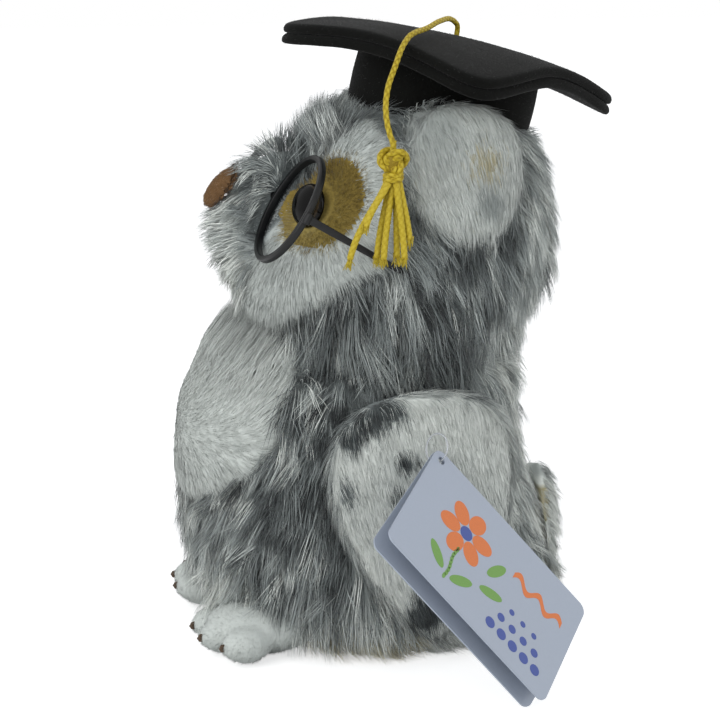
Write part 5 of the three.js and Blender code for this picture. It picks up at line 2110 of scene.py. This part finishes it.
@dataclass
class Wing(Stuffed):
    """One wing: a white plush face marked with dark spots, over a thin grey lining."""

    side: Side
    spots: tuple[tuple[float, float, float, float, float], ...] = (
        (-17, 98, 7, 4, 1), (-24, 93, 4, 5, 1), (-10, 102, 8, 4, 1), (-3, 84, 5, 3.5, 1),
        (-26, 74, 2.5, 6, 0.8), (-6, 72, 2.6, 3, 0.9), (26, 106, 7, 3, 0.7), (5, 24, 9, 9, 1),
        (28, 60, 4, 6, 0.6))

    @property
    def node(self) -> str:
        """What this wing's nodes start with."""
        return f"wing_{self.side.word}"

    def outward(self, normals: Rows) -> Rows:
        """How far each normal faces away from the body."""
        return normals[:, 0] * self.side.value

    def depth(self, points: Rows, normals: Rows) -> Rows:
        """How far in the face's skin lies, in millimetres."""
        return 1.4 * rise(-0.2, 0.5, self.outward(normals))

    def marked(self, points: Rows) -> Rows:
        """How much each point lies in a dark spot."""
        _, y, z = points.T
        dark = np.zeros(len(points))
        wander = 0.22 * lumps(points, 5, 3)
        for sy, sz, wide, high, strength in self.spots:
            near = np.hypot((y - sy) / wide, (z - sz) / high) + wander
            dark = np.maximum(dark, strength * (1 - rise(0.75, 1.15, near)))
        return dark

    def style(self, points: Rows, normals: Rows, lock: Lock | None = None, stray: object = 0.0) -> Style:
        """How the wing's pile lies, arguments as for Stuffed."""
        ones = np.ones(len(points))
        dark = self.marked(points + stray)
        flow = np.tile([0.12 * self.side.value, 0.30, -1], (len(points), 1))
        facing = self.outward(normals)
        growth = rise(-0.25, 0.05, facing)
        border = rise(0.75, 0.25, facing)
        # Painted light: the wing's white is drawn a little lighter towards its bottom; the dark spots are its
        # own marking.
        tone = (0.86 + 0.04 * rise(70, 40, points[:, 2]) - 0.14 * border) * (1 - dark) + 0.16 * dark
        length = 5.0 * ones + 4.5 * border
        return Style(growth, length, 15 + 14 * border, flow, tone, 0.06 + 0.5 * dark + 0.6 * border)

    def lining_style(
        self, points: Rows, normals: Rows, lock: Lock | None = None, stray: object = 0.0
    ) -> Style:
        """How the lining's pile lies, arguments as for Stuffed.style."""
        ones = np.ones(len(points))
        flow = np.tile([0, 0.15, -1.0], (len(points), 1))
        growth = rise(-0.3, -0.6, self.outward(normals))
        return Style(growth, 1.3 * ones, 35 * ones, flow, 0.42 * ones, ones)

    def build(self) -> tuple[list[Object], Skin, Skin]:
        """Makes the face and the lining."""
        face = Skin(evened(cad_copy([f"{self.node}_face"]), 1.3 * MM, 3), self.depth)
        lining = Skin(evened(cad_copy([f"{self.node}_lining"]), 0.9 * MM, 1), lambda p, n: np.zeros(len(p)))
        made = []
        for layer, skin, style, finish in (
            ("face", face, self.style, WHITE_BACKING), ("lining", lining, self.lining_style, GREY_BACKING)
        ):
            cloth = skin.finished(f"{self.node}_plush_{layer}", style, finish)
            made.append(fitted(cloth, self.side.wing, [f"{self.node}_{layer}"]))
        return made, face, lining


@dataclass
class Foot(Stuffed):
    """One foot in very short white pile, with three toes and satin-stitched claws."""

    side: Side
    claw_share: Point = (0.6, 0.8, 0.5)
    claw_inset: float = 1.3 * MM

    def depth(self, points: Rows, normals: Rows) -> Rows:
        """How far in the skin lies, in millimetres."""
        return 1.1 * rise(0.5, 3.0, points[:, 2])

    def style(self, points: Rows, normals: Rows, lock: Lock | None = None, stray: object = 0.0) -> Style:
        """How the foot's pile lies, arguments as for Stuffed."""
        ones = np.ones(len(points))
        flow = np.tile([0.1 * self.side.value, -0.8, -0.5], (len(points), 1))
        growth = ((points[:, 2] > 0.8) & (normals[:, 2] > -0.9)).astype(float)
        # Painted shade: the foot's white is drawn darker in the last few millimetres above the floor.
        tone = 0.78 - 0.04 * rise(8, 1, points[:, 2])
        return Style(growth, 1.7 * ones, 28 * ones, flow, tone, 0.1 * ones)

    def build_claw(self, number: int) -> Object:
        """Makes one claw of stitches laid across it."""
        node = f"claw_{self.side.word}_{number}"
        claw = evened(cad_copy([node]), 0.3 * MM, 2)
        least, most = ([pick(v.co[k] for v in claw.verts) for k in range(3)] for pick in (min, max))
        root = Vector(((least[0] + most[0]) / 2, most[1], (least[2] + most[2]) / 2))
        for vert in claw.verts:
            vert.co = root + (vert.co - root) * Vector(self.claw_share) + Vector((0, self.claw_inset, 0))
        claw.normal_update()
        low = min(v.co.z for v in claw.verts)
        for vert in claw.verts:
            ridge = abs(math.sin((vert.co.z - low) / (0.55 * MM) * math.pi / 2))
            vert.co += vert.normal * (0.14 * MM * ridge)
        return fitted(piece(claw, f"stitched_{node}", CLAW_THREAD), Body.BODY, [node])

    def build(self) -> tuple[list[Object], Skin]:
        """Makes the foot's skin and its claws."""
        node = f"foot_{self.side.word}"
        skin = Skin(evened(cad_copy([node]), 1.0 * MM, 4), self.depth)
        made = fitted(
            skin.finished(f"{node}_skin", self.style, WHITE_BACKING), Body.BODY, [node])
        return [made, *(self.build_claw(k) for k in (1, 2, 3))], skin


@dataclass
class Tail(Stuffed):
    """The tail, a flattened lobe low on the back."""

    def depth(self, points: Rows, normals: Rows) -> Rows:
        """How far in the skin lies, in millimetres."""
        shown = rise(-0.4, 0.2, normals[:, 1] + 0.6 * np.abs(normals[:, 0]))
        return (5.5 * rise(1.0, 6.0, points[:, 2]) + 9.0 * rise(22, 48, points[:, 2])) * shown

    def style(self, points: Rows, normals: Rows, lock: Lock | None = None, stray: object = 0.0) -> Style:
        """How the tail's pile lies, arguments as for Stuffed."""
        x, y, z = points.T
        ones = np.ones(len(points))
        flow = np.stack([0.012 * x, 0.45 * ones, -1 * ones], axis=1)
        growth = ((z > 1.2) & (normals[:, 1] > -0.5)).astype(float)
        patches = np.minimum(0.16 * lumps(points, 9, 2), 0.03)
        return Style(growth, 9.0 * ones, 16 * ones, flow, 0.93 + patches - 0.1 * rise(50, 58, z), 0.4 * ones)

    def build(self) -> tuple[Object, Skin]:
        """Makes the tail's skin."""
        skin = Skin(evened(cad_copy(["tail"]), 1.3 * MM, 3), self.depth)
        made = skin.finished("tail_skin", self.style, WHITE_BACKING)
        return fitted(made, Body.BODY, ["tail"]), skin


@dataclass
class Beak(Stuffed):
    """The beak, a hooked lobe of short brown pile."""

    sag: float = 1.6 * MM

    def depth(self, points: Rows, normals: Rows) -> Rows:
        """How far in the skin lies, in millimetres."""
        return 0.7 * np.ones(len(points))

    def style(self, points: Rows, normals: Rows, lock: Lock | None = None, stray: object = 0.0) -> Style:
        """How the beak's pile lies, arguments as for Stuffed."""
        ones = np.ones(len(points))
        flow = np.tile([0, -0.9, -0.6], (len(points), 1))
        return Style(ones, 1.5 * ones, 24 * ones, out_of_head(unit(flow)), 0.48 * ones, 1.4 * ones)

    def build(self) -> tuple[Object, Skin]:
        """Makes the beak's skin."""
        lobe = evened(cad_copy(["beak"]), 0.7 * MM, 4)
        bmesh.ops.translate(lobe, verts=lobe.verts, vec=(0, 0, -self.sag))
        skin = Skin(lobe, self.depth)
        made = skin.finished("beak_skin", self.style, BROWN_BACKING)
        return fitted(made, Body.HEAD, ["beak"]), skin


# The hang tag

TAG_PLACE = place(
    (0.7729, -0.52977, -0.34925, 0.10804, 0.65224, -0.75027, 0.62526, 0.54215, 0.56135),
    (73.3337, 7.4864, 89.2058))
RING_PLACE = place(
    (-0.62292, -0.0866, 0.77748, 0.62526, 0.54215, 0.56135, -0.47013, 0.8358, -0.28357),
    (73.4314, 7.5, 89.0838))
ORANGE = Ink("orange_ink", paint(214, 112, 42))
BLUE = Ink("blue_ink", paint(48, 72, 150))
GREEN = Ink("green_ink", paint(104, 152, 62))


@dataclass
class Tag:
    """The folded hang tag, its clear ring, and a plain flower printed on its front."""

    length: float = 86 * MM
    width: float = 55 * MM
    thickness: float = 0.6 * MM
    corner: float = 3.8 * MM
    hole: float = 1.6 * MM
    hole_inset: float = 4 * MM
    opening: float = 8.0
    gap: float = 0.3 * MM
    ring_radius: float = 5.5 * MM
    wire: float = 0.35 * MM

    def leaf(self, low: float) -> Mesh:
        """Makes one flat leaf in the tag's own frame.

        Args:
            low: The height of its underside.

        Returns:
            The leaf, its corners rounded and its hole cut.
        """
        leaf = bmesh.new()
        edge: list[bmesh.types.BMVert] = []
        corners = ((self.width, 0, -90), (self.width, self.length, 0), (0, self.length, 90), (0, 0, 180))
        for x, y, start in corners:
            middle = Vector((abs(x - self.corner), abs(y - self.corner), low))
            for k in range(9):
                angle = math.radians(start + 90 * k / 8)
                edge.append(leaf.verts.new(
                    middle + Vector((math.cos(angle), math.sin(angle), 0)) * self.corner))
        rim = [leaf.edges.new((a, b)) for a, b in zip(edge, [*edge[1:], edge[0]])]
        ring = bmesh.ops.create_circle(
            leaf, cap_ends=False, segments=32, radius=self.hole,
            matrix=Matrix.Translation((self.hole_inset, self.hole_inset, low)))["verts"]
        inner = dict.fromkeys(e for v in ring for e in v.link_edges)
        bmesh.ops.triangle_fill(leaf, use_beauty=True, use_dissolve=False, edges=[*rim, *inner])
        bmesh.ops.recalc_face_normals(leaf, faces=leaf.faces)
        if sum(face.normal.z for face in leaf.faces) > 0:
            bmesh.ops.reverse_faces(leaf, faces=leaf.faces)
        top = bmesh.ops.extrude_face_region(leaf, geom=list(leaf.faces), use_keep_orig=True)["geom"]
        raised = [item for item in top if isinstance(item, bmesh.types.BMVert)]
        bmesh.ops.translate(leaf, verts=raised, vec=(0, 0, self.thickness))
        bmesh.ops.recalc_face_normals(leaf, faces=leaf.faces)
        return leaf

    def back_turn(self) -> Matrix:
        """The back leaf's place, opened about the fold."""
        return TAG_PLACE @ Matrix.Rotation(math.radians(self.opening), 4, "Y")

    def build_leaves(self) -> None:
        """Makes both leaves."""
        front = self.leaf(self.gap / 2)
        bmesh.ops.transform(front, matrix=TAG_PLACE, verts=front.verts)
        back = self.leaf(-self.thickness - self.gap / 2)
        bmesh.ops.transform(back, matrix=self.back_turn(), verts=back.verts)
        for word, leaf, body in (("front", front, Body.TAG_FRONT), ("back", back, Body.TAG)):
            fitted(piece(leaf, f"tag_{word}_card", CARD, smooth=False), body, [f"tag_{word}_leaf"])

    def printed(self, name: str, ink: Ink, draw: Callable[[Mesh], None]) -> Object:
        """Lays a printed shape on the front leaf.

        Args:
            name: The piece's name.
            ink: Its colour.
            draw: Draws the flat shape, along the tag and up it, in millimetres.

        Returns:
            The shape.
        """
        shape = bmesh.new()
        draw(shape)
        bmesh.ops.remove_doubles(shape, verts=shape.verts, dist=0.001)
        for face in shape.faces:
            if face.normal.z < 0:
                face.normal_flip()
        made = bmesh.ops.extrude_face_region(shape, geom=list(shape.faces), use_keep_orig=True)["geom"]
        raised = [item for item in made if isinstance(item, bmesh.types.BMVert)]
        bmesh.ops.translate(shape, verts=raised, vec=(0, 0, 0.05))
        bmesh.ops.recalc_face_normals(shape, faces=shape.faces)
        card_top = (self.gap / 2 + self.thickness) / MM
        turn = Matrix(((0, -1, 0, self.width / MM), (1, 0, 0, 0), (0, 0, 1, card_top + 0.01), (0, 0, 0, 1)))
        bmesh.ops.transform(shape, matrix=TAG_PLACE @ Matrix.Scale(MM, 4) @ turn, verts=shape.verts)
        return fitted(piece(shape, name, ink, smooth=False), Body.TAG_FRONT)

    def disc(
        self, shape: Mesh, x: float, y: float, radius: float, stretch: float = 1, turn: float = 0
    ) -> None:
        """Draws a filled round or oval.

        Args:
            shape: What it is drawn in.
            x: How far along its middle is.
            y: How far up its middle is.
            radius: Its radius across.
            stretch: How many times longer it is than wide.
            turn: Its turn in degrees.
        """
        place_at = (
            Matrix.Translation((x, y, 0)) @ Matrix.Rotation(math.radians(turn), 4, "Z")
            @ Matrix.Diagonal((radius * stretch, radius, 1, 1)))
        bmesh.ops.create_circle(shape, cap_ends=True, segments=36, radius=1, matrix=place_at)

    def draw_petals(self, shape: Mesh) -> None:
        """Draws the flower's petals."""
        for k in range(6):
            angle = math.radians(60 * k + 12)
            self.disc(shape, 27 + 8.2 * math.cos(angle), 33 + 8.2 * math.sin(angle), 3.7, 1.35, 60 * k + 12)

    def draw_leaves(self, shape: Mesh) -> None:
        """Draws the leaves beside the stem."""
        for x, y, turn in ((34, 12.5, 38), (20.5, 13.5, 142), (47, 20, 20), (45, 31, 60)):
            self.disc(shape, x, y, 2.2, 2.6, turn)

    def draw_stem(self, shape: Mesh) -> None:
        """Draws the stem as a row of overlapping strokes."""
        for k in range(9):
            self.disc(shape, 27 + 0.5 * math.sin(k * 0.8), 8 + 1.9 * k, 0.75, 2.0, 90)

    def draw_dots(self, shape: Mesh) -> None:
        """Draws three rows of dots, each smaller than the last."""
        for row, (count, radius) in enumerate(((5, 2.3), (4, 1.8), (3, 1.3))):
            for k in range(count):
                self.disc(shape, 52 + 6.2 * k + 3.1 * row, 9 + 6.3 * row, radius)

    def draw_wave(self, shape: Mesh) -> None:
        """Draws a wavy band along the far end."""
        bmesh.ops.create_grid(shape, x_segments=60, y_segments=1, size=1)
        for vert in shape.verts:
            share, up = (vert.co.x + 1) / 2, vert.co.y
            along = 52 + 27 * share
            vert.co = Vector((along, 37 + 2.2 * math.sin(share * 5 * math.pi) + 1.5 * up, 0))

    def build_ring(self) -> Object:
        """Makes the clear ring."""
        ring = bmesh.new()
        at = Matrix.Translation((self.ring_radius, 0, 0)) @ Matrix.Rotation(math.pi / 2, 4, "X")
        made = bmesh.ops.create_circle(ring, cap_ends=False, segments=12, radius=self.wire, matrix=at)["verts"]
        edges = dict.fromkeys(e for v in made for e in v.link_edges)
        bmesh.ops.spin(
            ring, geom=[*made, *edges], cent=(0, 0, 0), axis=(0, 0, 1), angle=2 * math.pi, steps=72,
            use_merge=True)
        bmesh.ops.transform(ring, matrix=RING_PLACE, verts=ring.verts)
        bmesh.ops.recalc_face_normals(ring, faces=ring.faces)
        made = piece(ring, "tag_clear_ring", CLEAR_PLASTIC)
        return fitted(made, Body.WING_LEFT, ["tag_ring"])

    def build(self) -> None:
        """Makes the whole tag."""
        self.build_leaves()
        self.build_ring()
        self.printed("tag_print_petals", ORANGE, self.draw_petals)
        self.printed("tag_print_centre", BLUE, lambda shape: self.disc(shape, 27, 33, 3.0))
        self.printed("tag_print_stem", GREEN, self.draw_stem)
        self.printed("tag_print_leaves", GREEN, self.draw_leaves)
        self.printed("tag_print_dots", BLUE, self.draw_dots)
        self.printed("tag_print_wave", ORANGE, self.draw_wave)


@dataclass
class Hardware:
    """The plastic parts inside: the neck's disc, washer and lock ring and the eyes' washers."""

    nodes: tuple[str, ...] = ("neck_disc", "neck_washer", "neck_lock", "eye_washer_left", "eye_washer_right")

    def build(self) -> None:
        """Gives each hidden plastic node its finish."""
        for name in self.nodes:
            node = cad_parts[name]
            node.data.materials.clear()
            node.data.materials.append(WHITE_PLASTIC.material())
            log.info("%s: finished", name)


def keep_size() -> None:
    """Brings every piece's place up to date."""
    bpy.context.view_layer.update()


def main() -> None:
    """Builds the owl, sub-assembly by sub-assembly."""
    logging.basicConfig(level=logging.INFO, format="%(name)s %(message)s")
    Studio().build()
    Tassel().build()
    head_piece, head_skin = Head().build()
    torso_piece, torso_skin = Torso().build()
    cap = Cap().build(head_skin.tree)
    glasses = Glasses().build()
    eyes = [Eye(side).build() for side in Side]
    beak_piece, beak_skin = Beak().build()
    tail_piece, tail_skin = Tail().build()
    wings = {side: Wing(side).build() for side in Side}
    feet = {side: Foot(side).build() for side in Side}
    Tag().build()
    Hardware().build()

    worn = solid_tree(*cap, *glasses, *eyes)
    head, torso = Head(), Torso()
    beak_tree = solid_tree(beak_piece)
    head_pile = Pile("head", head_skin, head.style, Body.HEAD, [worn], [beak_tree], trim=head.behind_glasses)
    for lock, finish in ((LONG, GREY_FUR), (UNDER, GREY_FUR), (PLUSH, WHITE_FUR), (NAP, TAN_FUR)):
        head_pile.grow(lock, finish)
    Pile("beak", beak_skin, Beak().style, Body.HEAD).grow(NAP, BROWN_FUR)
    soles = [solid_tree(feet[side][0][0]) for side in Side]
    limbs = [solid_tree(*wings[side][0]) for side in Side] + [solid_tree(tail_piece)]
    torso_pile = Pile("body", torso_skin, torso.style, Body.BODY, limbs, [*limbs, *soles], soles)
    for lock, finish in ((LONG, GREY_FUR), (UNDER, GREY_FUR), (PLUSH, WHITE_FUR)):
        torso_pile.grow(lock, finish)
    torso_pile.grow(COVERED, GREY_FUR, covered=True)
    for lock in (LONG, UNDER):
        Pile("tail", tail_skin, Tail().style, Body.BODY).grow(lock, WHITE_FUR)
    for side in Side:
        wing, foot = Wing(side), Foot(side)
        Pile(wing.node, wings[side][1], wing.style, side.wing).grow(PLUSH, WHITE_FUR)
        Pile(f"{wing.node}_lining", wings[side][2], wing.lining_style, side.wing).grow(
            replace(NAP, density=1.2), GREY_FUR)
        Pile(f"foot_{side.word}", feet[side][1], foot.style, Body.BODY).grow(FOOT_NAP, WHITE_FUR)
    keep_size()
    count = sum(len(item.data.polygons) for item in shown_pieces() if item.type == "MESH")
    log.info("the owl has %d faces", count)


if __name__ == "__main__":
    main()
